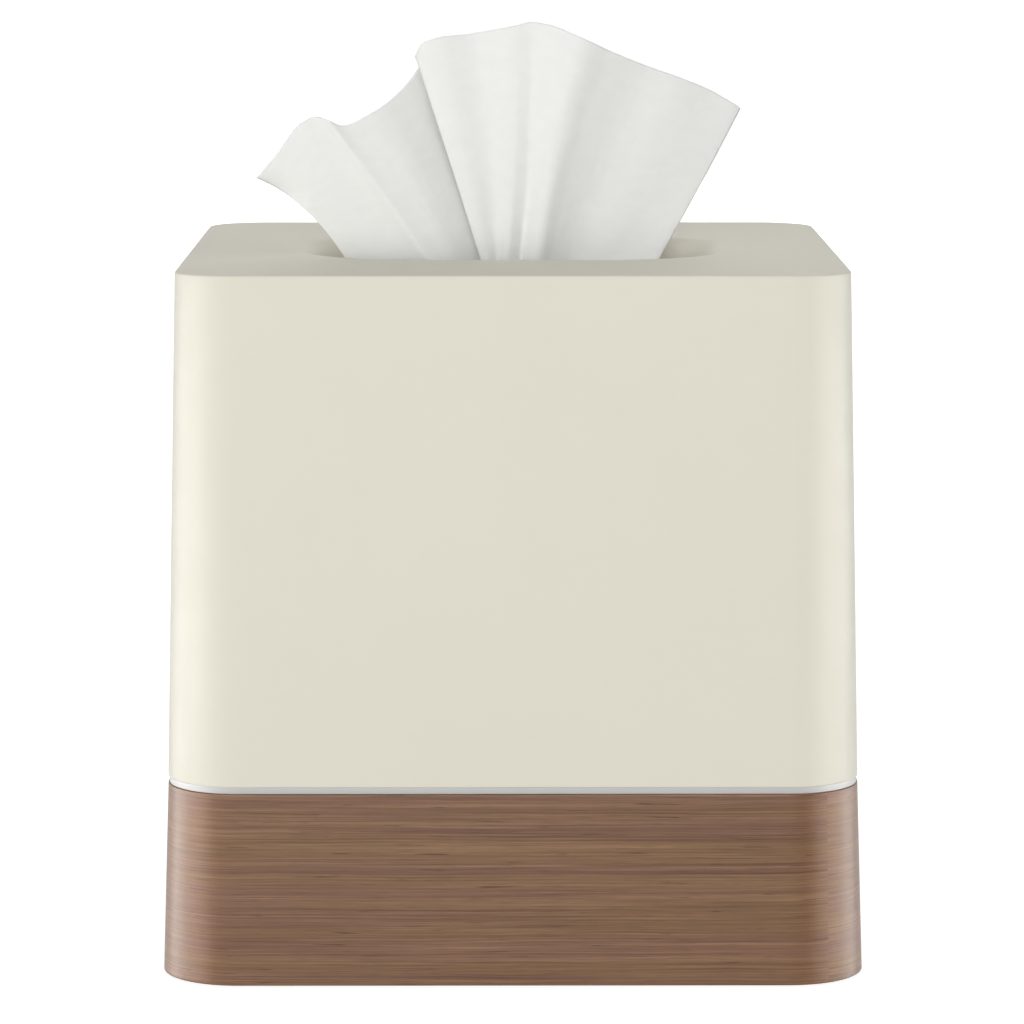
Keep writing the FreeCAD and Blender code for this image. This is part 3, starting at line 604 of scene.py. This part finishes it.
def random_float(tree, low, high, inputs):
    """A random number between two limits."""
    made = put(tree, "FunctionNodeRandomValue", inputs, data_type="FLOAT")
    limits = [socket for socket in made.inputs if socket.type == "VALUE" and socket.enabled]
    limits[0].default_value, limits[1].default_value = low, high
    return next(socket for socket in made.outputs if socket.type == "VALUE" and socket.enabled)


def band_tree():
    """A band swept round a rounded square."""
    tree, given, ending = new_tree("trim_band_sweep", {
        "Float": ["Half Width", "Corner", "Depth", "Height", "Edge", "Level"],
        "Int": ["Corner Steps", "Edge Steps"], "Material": ["Material"]})
    width = calc(tree, "MULTIPLY", given["Half Width"], 2.0)
    rounded = filleted(tree, rectangle(tree, width, width), given["Corner"], given["Corner Steps"])
    lifted = out(tree, "GeometryNodeSetPosition", {"Geometry": rounded,
                                                   "Offset": vector_of(tree, Z=given["Level"])})
    upright = out(tree, "GeometryNodeSetCurveNormal", {"Curve": lifted}, mode="Z_UP")
    section = filleted(tree, rectangle(tree, given["Depth"], given["Height"]), given["Edge"],
                       given["Edge Steps"])
    band = swept(tree, upright, section)
    return finish_tree(tree, band, given, ending)


def stack_tree():
    """Leaves bent up into two legs around a slot, one inside the other."""
    tree, given, ending = new_tree("tissue_leaves", {
        "Float": ["Leg", "Slot", "Floor", "Top", "Crown", "Length", "Leaf", "Sink", "Wander", "Ripple"],
        "Int": ["Leaves", "Bend Steps", "Leaf Steps", "Seed"], "Material": ["Material"]})
    pitch = calc(tree, "DIVIDE", given["Leg"], given["Leaves"])
    start = tree.nodes.new("GeometryNodeRepeatInput")
    end = tree.nodes.new("GeometryNodeRepeatOutput")
    start.pair_with_output(end)
    tree.links.new(given["Leaves"], start.inputs["Iterations"])
    order = start.outputs["Iteration"]

    # Where the leaf runs: out from the slot, low at its bend and lower where a leg's crown falls.
    offset = calc(tree, "MULTIPLY", calc(tree, "ADD", order, 0.5), pitch)
    half = calc(tree, "ADD", given["Slot"], offset)
    left = calc(tree, "MULTIPLY", half, -1.0)
    low = calc(tree, "SUBTRACT", given["Floor"], calc(tree, "MULTIPLY", offset, given["Sink"]))
    edge = calc(tree, "MINIMUM", offset, calc(tree, "SUBTRACT", given["Leg"], offset))
    short = calc(tree, "MAXIMUM", calc(tree, "SUBTRACT", given["Crown"], edge))
    square = calc(tree, "MULTIPLY", given["Crown"], given["Crown"])
    rest = calc(tree, "SUBTRACT", square, calc(tree, "MULTIPLY", short, short))
    drop = calc(tree, "SUBTRACT", given["Crown"], calc(tree, "SQRT", rest))
    chance = random_float(tree, 0.0, 1.0, {"ID": order, "Seed": given["Seed"]})
    sink = calc(tree, "MULTIPLY", chance, given["Wander"])
    top = calc(tree, "SUBTRACT", calc(tree, "SUBTRACT", given["Top"], drop), sink)

    corners = [vector_of(tree, X=x, Y=y)
               for x, y in ((left, top), (left, low), (half, low), (half, top))]
    outline = out(tree, "GeometryNodeCurvePrimitiveQuadrilateral",
                  {f"Point {k + 1}": corner for k, corner in enumerate(corners)}, mode="POINTS")
    opened = out(tree, "GeometryNodeSetSplineCyclic", {"Geometry": outline, "Cyclic": False})
    bent = filleted(tree, opened, calc(tree, "MULTIPLY", half, 0.9),
                    given["Bend Steps"], limited=True)
    stood = out(tree, "GeometryNodeTransform", {"Geometry": bent,
                                                "Rotation": Euler((QUARTER, 0.0, QUARTER))})
    even = out(tree, "GeometryNodeResampleCurve", {"Curve": stood, "Count": given["Leaf Steps"]})
    ripple = put(tree, "ShaderNodeTexNoise", {"Scale": 45.0, "Detail": 2.0, "W": order},
                 noise_dimensions="4D")
    sway = out(tree, "ShaderNodeVectorMath", {0: ripple.outputs["Color"], 1: (0.5, 0.5, 0.5)},
               operation="SUBTRACT")
    wave = out(tree, "ShaderNodeVectorMath", {0: sway,
                                              1: vector_of(tree, Y=given["Ripple"])},
               operation="MULTIPLY")
    loose = out(tree, "GeometryNodeSetPosition", {"Geometry": even, "Offset": wave})
    flat = out(tree, "GeometryNodeSetCurveNormal", {"Curve": loose,
                                                    "Normal": (1.0, 0.0, 0.0)}, mode="FREE")
    section = rectangle(tree, given["Length"], calc(tree, "MULTIPLY", pitch, given["Leaf"]))
    leaf = swept(tree, flat, section, caps=True)
    joined = tree.nodes.new("GeometryNodeJoinGeometry")
    tree.links.new(start.outputs["Geometry"], joined.inputs["Geometry"])
    tree.links.new(leaf, joined.inputs["Geometry"])
    tree.links.new(joined.outputs["Geometry"], end.inputs["Geometry"])
    return finish_tree(tree, end.outputs["Geometry"], given, ending)


def nib_tree():
    """Torn nibs left along the perforation of a tear-out slot."""
    tree, given, ending = new_tree("perforation_nibs", {
        "Float": ["Half Length", "Width", "Corner", "Level", "Nib", "Tip"],
        "Int": ["Count", "Corner Steps", "Seed"], "Material": ["Material"]})
    slot = rectangle(tree, calc(tree, "MULTIPLY", given["Half Length"], 2.0), given["Width"])
    rounded = filleted(tree, slot, given["Corner"], given["Corner Steps"])
    places = put(tree, "GeometryNodeCurveToPoints", {"Curve": rounded, "Count": given["Count"]},
                 mode="COUNT")
    nib = out(tree, "GeometryNodeMeshCone", {"Vertices": 5, "Radius Top": given["Tip"],
                                             "Radius Bottom": given["Nib"], "Depth": given["Nib"]},
              fill_type="NGON")
    flat = out(tree, "GeometryNodeTransform", {"Geometry": nib,
                                               "Rotation": Euler((QUARTER, 0.0, 0.0)),
                                               "Scale": (1.0, 1.0, 0.5)})
    turned = out(tree, "FunctionNodeAlignRotationToVector", {"Vector": places.outputs["Tangent"]},
                 axis="X")
    set_out = out(tree, "GeometryNodeInstanceOnPoints", {
        "Points": places.outputs["Points"], "Instance": flat,
        "Rotation": turned,
        "Scale": random_float(tree, 0.45, 1.25, {"Seed": given["Seed"]})})
    lifted = out(tree, "GeometryNodeTransform", {"Geometry": set_out,
                                                 "Translation": vector_of(tree, Z=given["Level"])})
    return finish_tree(tree, lifted, given, ending)


# The front tissue, in millimetres. Its lines run up the sheet from the slit to its upper edge and
# are listed from left to right. Each has its places across and up at the slit, half way and at the
# edge, its depth there (towards the front is negative) and how sharp its crease, if any, is low and
# high.
SLIT_LEVEL = 126.4
TAIL_END = 14.9
TISSUE_LINES = [
    {"x": (-29.2, -38.5, -50.6), "z": (141.8, 150.6), "y": (0.0, -2.4, -2.0)},
    {"x": (-26.0, -35.8, -46.6), "z": (142.8, 155.3), "y": (-0.4, -2.3, -2.1)},
    {"x": (-22.0, -31.2, -42.0), "z": (144.0, 161.3), "y": (-1.0, -2.1, -2.1)},
    {"x": (-16.5, -27.0, -38.9), "z": (144.6, 162.7), "y": (-1.6, -2.3, -2.4)},
    {"x": (-12.0, -23.8, -36.7), "z": (144.6, 162.2), "y": (-4.0, -3.9, -3.5), "crease": (1, 1)},
    {"x": (-9.8, -20.8, -33.7), "z": (144.6, 160.9), "y": (-2.4, -2.7, -2.3)},
    {"x": (-7.6, -17.2, -27.6), "z": (146.0, 163.4), "y": (-0.8, -1.2, 0.2)},
    {"x": (-5.2, -13.0, -22.6), "z": (149.0, 167.0), "y": (1.2, 2.0, 3.8)},
    {"x": (-1.4, -6.8, -17.6), "z": (150.0, 173.4), "y": (2.6, 9.0, 9.2)},
    {"x": (-4.0, -11.8, -19.2), "z": (151.5, 174.4), "y": (-2.0, -2.2, -1.2), "crease": (1, 1)},
    {"x": (-3.7, -10.9, -18.1), "z": (151.7, 176.7), "y": (-2.3, -2.7, -2.1)},
    {"x": (-3.3, -9.2, -15.8), "z": (152.0, 177.8), "y": (-2.4, -3.0, -2.8)},
    {"x": (-2.6, -4.8, -8.2), "z": (152.4, 178.8), "y": (-1.4, -2.1, -1.2)},
    {"x": (-2.0, 0.8, 1.0), "z": (153.6, 180.5), "y": (-3.0, -3.5, -3.2), "crease": (1, 0)},
    {"x": (0.4, 3.0, 3.6), "z": (153.8, 181.1), "y": (-0.8, -2.8, -2.8), "crease": (0, 0.6)},
    {"x": (2.2, 5.5, 8.0), "z": (153.2, 180.4), "y": (-2.2, -3.9, -4.1)},
    {"x": (4.2, 8.1, 13.6), "z": (152.4, 178.1), "y": (-3.2, -4.8, -5.6)},
    {"x": (6.4, 12.2, 20.0), "z": (151.0, 175.0), "y": (-0.4, -1.9, -1.9)},
    {"x": (9.5, 17.6, 27.0), "z": (149.4, 172.0), "y": (2.2, 1.3, 2.4)},
    {"x": (15.0, 26.0, 35.0), "z": (147.6, 169.0), "y": (2.8, 3.5, 5.2)},
    {"x": (20.0, 32.6, 41.2), "z": (146.4, 166.2), "y": (2.6, 5.8, 8.4)},
    {"x": (25.4, 36.4, 46.2), "z": (144.9, 163.2), "y": (1.2, 7.1, 10.4), "crease": (1, 1)},
    {"x": (26.0, 37.0, 46.8), "z": (144.7, 162.6), "y": (1.5, 7.4, 10.9)},
]
# How far up, as a share, the lines' distances set the spread of the sheet's columns.
SPREAD_LEVEL = 0.8
# A hollow that runs in from the left tip: its two ends across and up, its width and its depth.
TIP_HOLLOW = {"from": (-51.5, 149.0), "to": (-40.0, 144.5), "width": 3.2, "depth": 2.8}
# Heights above the slit at which the gathers are open and the fan is turned, and between which the
# slit lets go of the sheet; the share of the slit that the sheet fills; and the gathers' depth.
GATHERS_OPEN = 6.5
FAN_TURNED = 8.0
SLIT_GRIP = (1.0, 6.0)
SLIT_FILLED = 0.85
GATHER_DEPTH = 1.9
# The tail: its gathers' depth, how far its folds wander, how much it narrows, and the share of it
# in which it comes free of the slit.
TAIL_DEPTH = 2.7
TAIL_WANDER = 0.5
TAIL_NARROWING = 0.04
TAIL_FREE = 0.2
# Wrinkles: their width across the sheet, their length up it, their depth, the part of the depth that
# is left in the slit, and a place of their own in the noise. They open between two heights.
WRINKLES = [
    {"across": 13.0, "up": 30.0, "depth": 0.12, "in_slit": 0.0, "place": 1.7},
    {"across": 3.6, "up": 17.0, "depth": 0.045, "in_slit": 0.4, "place": 5.1},
    {"across": 1.5, "up": 3.4, "depth": 0.02, "in_slit": 1.0, "place": 9.4},
]
WRINKLES_OPEN = (SLIT_LEVEL + 2.0, SLIT_LEVEL + 32.0)


def line_points(up):
    """Places of all lines at a share of the way from the slit to the upper edge."""
    weights = np.array([(1 - up) * (1 - 2 * up), 4 * up * (1 - up), up * (2 * up - 1)])
    return np.array([[weights @ line["x"], weights @ line["y"], weights @ (SLIT_LEVEL, *line["z"])]
                     for line in TISSUE_LINES])


def through_lines(points, places, creases, samples):
    """A row of points through the lines: a smooth run that may break its direction at a crease."""
    steps = np.diff(places)
    slopes = np.diff(points, axis=0) / steps[:, None]
    before = np.vstack([slopes[:1], slopes])
    after = np.vstack([slopes, slopes[-1:]])
    back = np.concatenate([steps[:1], steps])[:, None]
    forth = np.concatenate([steps, steps[-1:]])[:, None]
    even = (before * forth + after * back) / (back + forth)
    crease = np.array(creases)[:, None]
    leaving = even + crease * (after - even)
    arriving = even + crease * (before - even)
    k = np.clip(np.searchsorted(places, samples, side="right") - 1, 0, len(places) - 2)
    s = ((samples - places[k]) / steps[k])[:, None]
    step = steps[k][:, None]
    return ((2 * s ** 3 - 3 * s ** 2 + 1) * points[k] + (s ** 3 - 2 * s ** 2 + s) * step * leaving[k]
            + (3 * s ** 2 - 2 * s ** 3) * points[k + 1] + (s ** 3 - s ** 2) * step * arriving[k + 1])


def fade(value, low, high):
    """0 below low, 1 above high and smooth between."""
    s = np.clip((value - low) / (high - low), 0.0, 1.0)
    return s * s * (3 - 2 * s)


def tip_hollow(row):
    """How far a row is pressed back by the hollow at the left tip."""
    start = np.array(TIP_HOLLOW["from"])
    run = np.array(TIP_HOLLOW["to"]) - start
    reach = row[:, (0, 2)] - start
    along = np.clip(reach @ run / (run @ run), 0.0, 1.0)
    away = np.linalg.norm(reach - along[:, None] * run, axis=1)
    depth = TIP_HOLLOW["depth"] * np.exp(-(away / TIP_HOLLOW["width"]) ** 2)
    return depth * (1 - fade(along, 0.3, 1.0))


def tissue_rows(sizes):
    """All rows of the tissue from its tail to its upper edge, with the share of the sheet's width
    at each column."""
    runs = np.linalg.norm(np.diff(line_points(SPREAD_LEVEL), axis=0), axis=1)
    places = np.concatenate([[0.0], np.cumsum(runs)]) / runs.sum()
    columns = np.linspace(0.0, 1.0, sizes.columns + 1)
    uneven = 0.35 * np.sin(7.0 * columns) + 0.2 * np.sin(23.0 * columns + 1.0)
    swing = np.sin(2 * math.pi * (sizes.gathers * columns + uneven))

    fan = []
    for up in np.linspace(0.0, 1.0, sizes.fan_rows + 1):
        sharpness = [line.get("crease", (0, 0)) for line in TISSUE_LINES]
        creases = [low * (1 - up) + high * up for low, high in sharpness]
        row = through_lines(line_points(up), places, creases, columns)
        above = row[:, 2] - SLIT_LEVEL
        turned = math.tan(sizes.turn) * row[:, 0] * fade(above, 0.0, FAN_TURNED)
        gathered = GATHER_DEPTH * (1 - fade(above, 0.0, GATHERS_OPEN)) * swing
        depth = row[:, 1] + turned + gathered
        room = SLIT_FILLED * sizes.slit_gap / MM * (1 - (row[:, 0] * MM / sizes.slit_half) ** 2)
        held = 1 - fade(above, *SLIT_GRIP)
        row[:, 1] = depth + held * (room * np.tanh(depth / room) - depth) + tip_hollow(row)
        fan.append(row)

    tail = []
    for down in np.linspace(1.0, 0.0, sizes.tail_rows + 1)[:-1]:
        row = fan[0].copy()
        wander = TAIL_WANDER * down
        free = fade(down, 0.0, TAIL_FREE)
        drift = wander * np.sin(2 * math.pi * (2.3 * columns + 0.8 * down))
        row[:, 0] *= 1 - TAIL_NARROWING * down
        row[:, 0] += wander * np.sin(5.0 * down + 9.0 * columns)
        row[:, 1] = row[:, 1] * (1 - free) + free * (TAIL_DEPTH * swing + drift)
        row[:, 2] = SLIT_LEVEL + (TAIL_END - SLIT_LEVEL) * down
        tail.append(row)
    return np.array(tail + fan), columns


def wrinkled(rows, columns, width):
    """The rows with soft undulations and fine wrinkles that run up the sheet."""
    along = np.gradient(rows, axis=0)
    normals = np.cross(np.gradient(rows, axis=1), along)
    normals /= np.maximum(np.linalg.norm(normals, axis=2, keepdims=True), 1e-9)
    lengths = np.cumsum(np.linalg.norm(along, axis=2), axis=0)
    low, high = WRINKLES_OPEN
    opened = np.clip((rows[:, :, 2] - low) / (high - low), 0.0, 1.0)
    shift = np.zeros(rows.shape[:2])
    for wrinkle in WRINKLES:
        for (i, k), up in np.ndenumerate(lengths):
            lift = noise.noise((columns[k] * width / wrinkle["across"], up / wrinkle["up"],
                                wrinkle["place"]))
            part = wrinkle["in_slit"] + (1 - wrinkle["in_slit"]) * opened[i, k]
            shift[i, k] += wrinkle["depth"] * lift * part
    return rows + normals * shift[:, :, None]


# Operators

# Heights of the rings that keep the long sides straight, as shares of the side.
SHELL_RINGS = (0.006, 0.25, 0.5, 0.75, 0.99)
VENEER_RINGS = (0.02, 0.25, 0.5, 0.75, 0.98)


class TISSUECOVER_OT_shell(bpy.types.Operator):
    """Build the ivory shell with its rolled opening"""
    bl_idname = "tissue_cover.shell"
    bl_label = "Shell"

    def execute(self, context):
        sizes = context.scene.tissue_cover.sizes
        low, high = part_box("cover_shell")
        rim, top = low.z, high.z
        ceiling = top - sizes.top_wall
        lip_end = top - sizes.lip_depth
        lean = math.tan(sizes.shell_draft)
        top_inset = (top - rim) * lean

        def side(inset, z):
            half = high.x - inset
            return at_level(rounded_outline(half, half, sizes.rim_corner - inset), z)

        def mouth(outset, z):
            outset -= sizes.lip_round
            return at_level(rounded_outline(sizes.opening_length / 2 + outset,
                                            sizes.opening_width / 2 + outset,
                                            sizes.opening_corner + outset), z)

        loops = [side(sizes.shell_wall, rim), side(2 * sizes.rim_round, rim)]
        for across, up in quarter_round(steps=5):
            loops.append(side(sizes.rim_round * (1 - across), rim + sizes.rim_round * (1 - up)))
        for step in SHELL_RINGS:
            loops.append(side(top_inset * step, rim + (top - rim) * step))
        for across, up in quarter_round(steps=8)[::-1]:
            loops.append(side(top_inset + sizes.top_round * (1 - across),
                              top - sizes.top_round * (1 - up)))
        loops.append(side(top_inset + 3 * sizes.top_round, top))
        loops.append(mouth(sizes.lip_round * 1.25, top))
        for across, up in quarter_round(steps=14):
            loops.append(mouth(sizes.lip_round * (1 - across), top - sizes.lip_round * (1 - up)))
        loops += [
            mouth(0.0, lip_end + sizes.lip_break),
            mouth(sizes.lip_break, lip_end),
            mouth(sizes.lip_wall - sizes.lip_break, lip_end),
            mouth(sizes.lip_wall, lip_end + sizes.lip_break),
            mouth(sizes.lip_wall, ceiling - sizes.lip_root),
            mouth(sizes.lip_wall + sizes.lip_root, ceiling),
            side(sizes.shell_wall + (ceiling - rim) * lean, ceiling),
        ]
        mesh = lofted_ring("ivory_shell", loops)
        material = ivory_plastic(context.scene.tissue_cover.finishes)
        new_piece("ivory_shell", mesh, material, "cover", "ivory_shell", "cover_shell")
        return {"FINISHED"}


class TISSUECOVER_OT_band(bpy.types.Operator):
    """Sweep the silver trim band round the cover"""
    bl_idname = "tissue_cover.band"
    bl_label = "Trim Band"

    def execute(self, context):
        sizes = context.scene.tissue_cover.sizes
        low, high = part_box("trim_band")
        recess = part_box("cover_shell")[1].x - high.x
        material = brushed_silver(context.scene.tissue_cover.finishes)
        mesh = mesh_from_tree(band_tree(), {
            "Half Width": high.x - sizes.band_depth / 2,
            "Corner": sizes.rim_corner - recess - sizes.band_depth / 2,
            "Depth": sizes.band_depth, "Height": high.z - low.z, "Edge": sizes.band_round,
            "Level": (low.z + high.z) / 2, "Corner Steps": 24, "Edge Steps": 4,
            "Material": material})
        smooth_below(mesh, 30.0)
        new_piece("silver_band", mesh, material, "cover", "silver_band", "trim_band")
        return {"FINISHED"}


class TISSUECOVER_OT_base(bpy.types.Operator):
    """Wrap the veneer round the base and finish the base and its feet"""
    bl_idname = "tissue_cover.base"
    bl_label = "Base"

    def execute(self, context):
        sizes = context.scene.tissue_cover.sizes
        finishes = context.scene.tissue_cover.finishes
        low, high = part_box("wood_veneer")
        lean = math.tan(sizes.base_draft)
        edge = sizes.veneer_round

        def side(inset, z):
            inset += (z - low.z) * lean
            half = high.x - inset
            return at_level(rounded_outline(half, half, sizes.base_corner - inset), z)

        loops = []
        for across, up in quarter_round(steps=4):
            loops.append(side(edge * (1 - across), low.z + edge * (1 - up)))
        for step in VENEER_RINGS:
            loops.append(side(0.0, low.z + (high.z - low.z) * step))
        for across, up in quarter_round(steps=4)[::-1]:
            loops.append(side(edge * (1 - across), high.z - edge * (1 - up)))
        loops.append(side(sizes.veneer, high.z))
        loops.append(side(sizes.veneer, low.z))
        mesh = lofted_ring("walnut_veneer", loops)
        material = walnut_veneer(finishes, way_round(loops[0]).sum(), sizes.veneer_joint)
        new_piece("walnut_veneer", mesh, material, "cover", "walnut_veneer", "wood_veneer")
        paint("base_ring", base_plastic(finishes))
        rubber = foot_rubber(finishes)
        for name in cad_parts:
            if name.startswith("foot_pad_"):
                paint(name, rubber)
        return {"FINISHED"}


class TISSUECOVER_OT_carton(bpy.types.Operator):
    """Finish the carton and its film and tear nibs along the slot"""
    bl_idname = "tissue_cover.carton"
    bl_label = "Carton"

    def execute(self, context):
        finishes = context.scene.tissue_cover.finishes
        sizes = context.scene.tissue_cover.carton
        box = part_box("tissue_carton")[1]
        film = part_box("slit_film")[1]
        board = carton_board(finishes, box.x, box.z, sizes.crease)
        paint("tissue_carton", board)
        paint("slit_film", clear_film(finishes))
        slot_half = film.y - sizes.film_margin
        mesh = mesh_from_tree(nib_tree(), {
            "Half Length": film.x - sizes.film_margin, "Width": 2 * slot_half,
            "Corner": slot_half - sizes.slot_flat, "Level": (film.z + box.z) / 2,
            "Count": sizes.nibs, "Nib": sizes.nib, "Tip": sizes.nib_tip, "Corner Steps": 16,
            "Seed": 3, "Material": board})
        new_piece("perforation_nibs", mesh, board, "carton", "carton_board")
        return {"FINISHED"}


class TISSUECOVER_OT_stack(bpy.types.Operator):
    """Lay the leaves of the folded stack"""
    bl_idname = "tissue_cover.stack"
    bl_label = "Stack"

    def execute(self, context):
        sizes = context.scene.tissue_cover.tissue
        low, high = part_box("tissue_stack")
        material = creped_tissue(context.scene.tissue_cover.finishes, "stacked_tissue", "")
        mesh = mesh_from_tree(stack_tree(), {
            "Leaves": sizes.leaves, "Leg": high.y - sizes.tail_slot, "Slot": sizes.tail_slot,
            "Floor": low.z + sizes.stack_floor, "Top": high.z, "Crown": sizes.stack_crown,
            "Length": high.x - low.x, "Leaf": sizes.leaf, "Sink": sizes.leaf_sink,
            "Wander": sizes.leaf_wander, "Ripple": sizes.leaf_ripple, "Bend Steps": 7,
            "Leaf Steps": 40, "Seed": 7, "Material": material})
        new_piece("tissue_leaves", mesh, material, "carton", "tissue", "tissue_stack")
        return {"FINISHED"}


class TISSUECOVER_OT_front_tissue(bpy.types.Operator):
    """Fold the tissue that stands ready in the opening"""
    bl_idname = "tissue_cover.front_tissue"
    bl_label = "Front Tissue"

    def execute(self, context):
        sizes = context.scene.tissue_cover.tissue
        rows, columns = tissue_rows(sizes)
        points = wrinkled(rows, columns, sizes.flat_width / MM).reshape(-1, 3) * MM
        index = np.arange(len(points)).reshape(rows.shape[:2])
        mesh = grid_mesh("ready_tissue", points, index, "sheet", columns * sizes.flat_width,
                         np.linspace(0.0, sizes.flat_length, len(rows)))
        smooth(mesh)
        material = creped_tissue(context.scene.tissue_cover.finishes, "creped_tissue", "sheet")
        piece = new_piece("ready_tissue", mesh, material, "tissue", "tissue", "front_tissue")
        solid = piece.modifiers.new("plies", "SOLIDIFY")
        solid.thickness = sizes.ply
        solid.offset = 0.0
        return {"FINISHED"}


# The lamps, in metres: their places, what they face if it isn't the object, their width and height,
# and the kind of ray that doesn't see them.
LAMP_AIM = (0.0, 0.0, 0.08)
LAMPS = {
    "key": {"place": (-0.38, -2.11, 0.38), "size": (1.6, 0.8)},
    "overhead": {"place": (0.0, 0.15, 1.5), "size": (0.7, 0.7)},
    "left_fill": {"place": (-1.5, 0.0, 0.5), "size": (0.8, 0.8)},
    "right_fill": {"place": (1.5, 0.0, 0.5), "size": (0.8, 0.8)},
    "left_gloss": {"place": (-0.42, -0.12, 0.0), "aim": (0.0, -0.12, 0.0), "size": (0.60, 0.26),
                   "unseen": "visible_diffuse"},
    "right_gloss": {"place": (0.42, -0.12, 0.0), "aim": (0.0, -0.12, 0.0), "size": (0.60, 0.26),
                    "unseen": "visible_diffuse"},
    "rear": {"place": (0.5, 2.05, 0.45), "size": (1.6, 0.8), "unseen": "visible_glossy"},
}
WHITE = (1.0, 1.0, 1.0, 1.0)


class TISSUECOVER_OT_stage(bpy.types.Operator):
    """Set up the floor, the light and the camera"""
    bl_idname = "tissue_cover.stage"
    bl_label = "Stage"

    def execute(self, context):
        scene = context.scene
        stage = scene.tissue_cover.stage
        scene.view_settings.view_transform = "Standard"
        self.add_world(scene, stage)
        self.add_floor(scene, stage)
        for name, lamp in LAMPS.items():
            self.add_light(scene, name, getattr(stage, name), **lamp)
        data = bpy.data.cameras.new("camera")
        data.lens = stage.camera_lens
        data.sensor_width = 36.0
        data.clip_start = 0.05
        data.clip_end = 50.0
        camera = bpy.data.objects.new("camera", data)
        camera.location = stage.camera_place
        camera.rotation_euler = (QUARTER - stage.camera_pitch, 0.0, -stage.camera_yaw)
        scene.collection.objects.link(camera)
        scene.camera = camera
        return {"FINISHED"}

    def add_light(self, scene, name, power, place, size, aim=LAMP_AIM, unseen=None):
        data = bpy.data.lights.new(name, "AREA")
        data.shape = "RECTANGLE"
        data.size, data.size_y = size
        data.energy = power
        lamp = bpy.data.objects.new(name, data)
        lamp.location = place
        lamp.rotation_euler = (Vector(aim) - Vector(place)).to_track_quat("-Z", "Y").to_euler()
        lamp.visible_camera = False
        if unseen:
            setattr(lamp, unseen, False)
        scene.collection.objects.link(lamp)

    def mixed_by_sight(self, tree, hidden, shown, ending):
        """Ends a tree with one shader for rays that show the background, from the camera or passing
        through, and another for the rest."""
        path = put(tree, "ShaderNodeLightPath").outputs
        seen = calc(tree, "MAXIMUM", path["Is Camera Ray"], path["Is Transmission Ray"])
        mixed = out(tree, "ShaderNodeMixShader", {0: seen, 1: hidden, 2: shown})
        tree.links.new(mixed, tree.nodes[ending].inputs["Surface"])

    def add_world(self, scene, stage):
        world = bpy.data.worlds.new("studio")
        world.use_nodes = True
        scene.world = world
        tree = world.node_tree
        towards = put(tree, "ShaderNodeTexCoord").outputs["Generated"]
        axes = put(tree, "ShaderNodeSeparateXYZ", {"Vector": towards}).outputs
        around = ranged(tree, axes["Z"], 0.0, 1.0, stage.horizon, stage.zenith)
        room = ranged(tree, axes["Y"], -0.5, 0.5, stage.room_front, stage.room_rear, True)
        mirrored = put(tree, "ShaderNodeLightPath").outputs["Is Glossy Ray"]
        strength = put(tree, "ShaderNodeMix", {"Factor": mirrored, "A": around, "B": room})
        light = tree.nodes["Background"]
        fill(tree, light, {"Color": WHITE, "Strength": strength.outputs["Result"]})
        white = out(tree, "ShaderNodeBackground", {"Color": WHITE, "Strength": 1.0})
        self.mixed_by_sight(tree, light.outputs["Background"], white, "World Output")

    def add_floor(self, scene, stage):
        reach = stage.floor_reach
        mesh = bpy.data.meshes.new("floor")
        mesh.from_pydata([(-reach, -reach, 0.0), (reach, -reach, 0.0), (reach, reach, 0.0),
                          (-reach, reach, 0.0)], [], [(0, 1, 2, 3)])
        floor = bpy.data.objects.new("floor", mesh)
        floor.visible_glossy = False
        scene.collection.objects.link(floor)
        material, tree, shader = new_shader("floor_white")
        tree.nodes.remove(shader)
        pale, shaded = (out(tree, "ShaderNodeBsdfDiffuse", {"Color": opaque([grey] * 3)})
                        for grey in (stage.floor_pale, stage.floor_shaded))
        glow = out(tree, "ShaderNodeEmission", {"Color": WHITE, "Strength": stage.floor_glow})
        white = out(tree, "ShaderNodeAddShader", {0: glow, 1: shaded})
        self.mixed_by_sight(tree, pale, white, "Material Output")
        mesh.materials.append(material)


class TISSUECOVER_PT_panel(bpy.types.Panel):
    """Lists the steps and settings of the tissue box cover"""
    bl_idname = "TISSUECOVER_PT_panel"
    bl_label = "Tissue Cover"
    bl_space_type = "VIEW_3D"
    bl_region_type = "UI"
    bl_category = "Tissue Cover"

    def draw(self, context):
        cover = context.scene.tissue_cover
        for operator in OPERATORS:
            self.layout.operator(operator.bl_idname)
        for group in (cover.sizes, cover.finishes, cover.carton, cover.tissue, cover.stage):
            box = self.layout.box()
            for name in group.__annotations__:
                box.prop(group, name)


GROUPS = [CoverSizes, CoverFinishes, CartonSizes, TissueSizes, StageSettings, TissueCover]
OPERATORS = [
    TISSUECOVER_OT_stage,
    TISSUECOVER_OT_shell,
    TISSUECOVER_OT_band,
    TISSUECOVER_OT_base,
    TISSUECOVER_OT_carton,
    TISSUECOVER_OT_stack,
    TISSUECOVER_OT_front_tissue,
]
CLASSES = GROUPS + OPERATORS + [TISSUECOVER_PT_panel]


def register():
    for cls in CLASSES:
        bpy.utils.register_class(cls)
    bpy.types.Scene.tissue_cover = PointerProperty(type=TissueCover)


def unregister():
    del bpy.types.Scene.tissue_cover
    for cls in reversed(CLASSES):
        bpy.utils.unregister_class(cls)


def main():
    register()
    for operator in OPERATORS:
        group, step = operator.bl_idname.split(".")
        getattr(getattr(bpy.ops, group), step)()


if __name__ == "__main__":
    main()
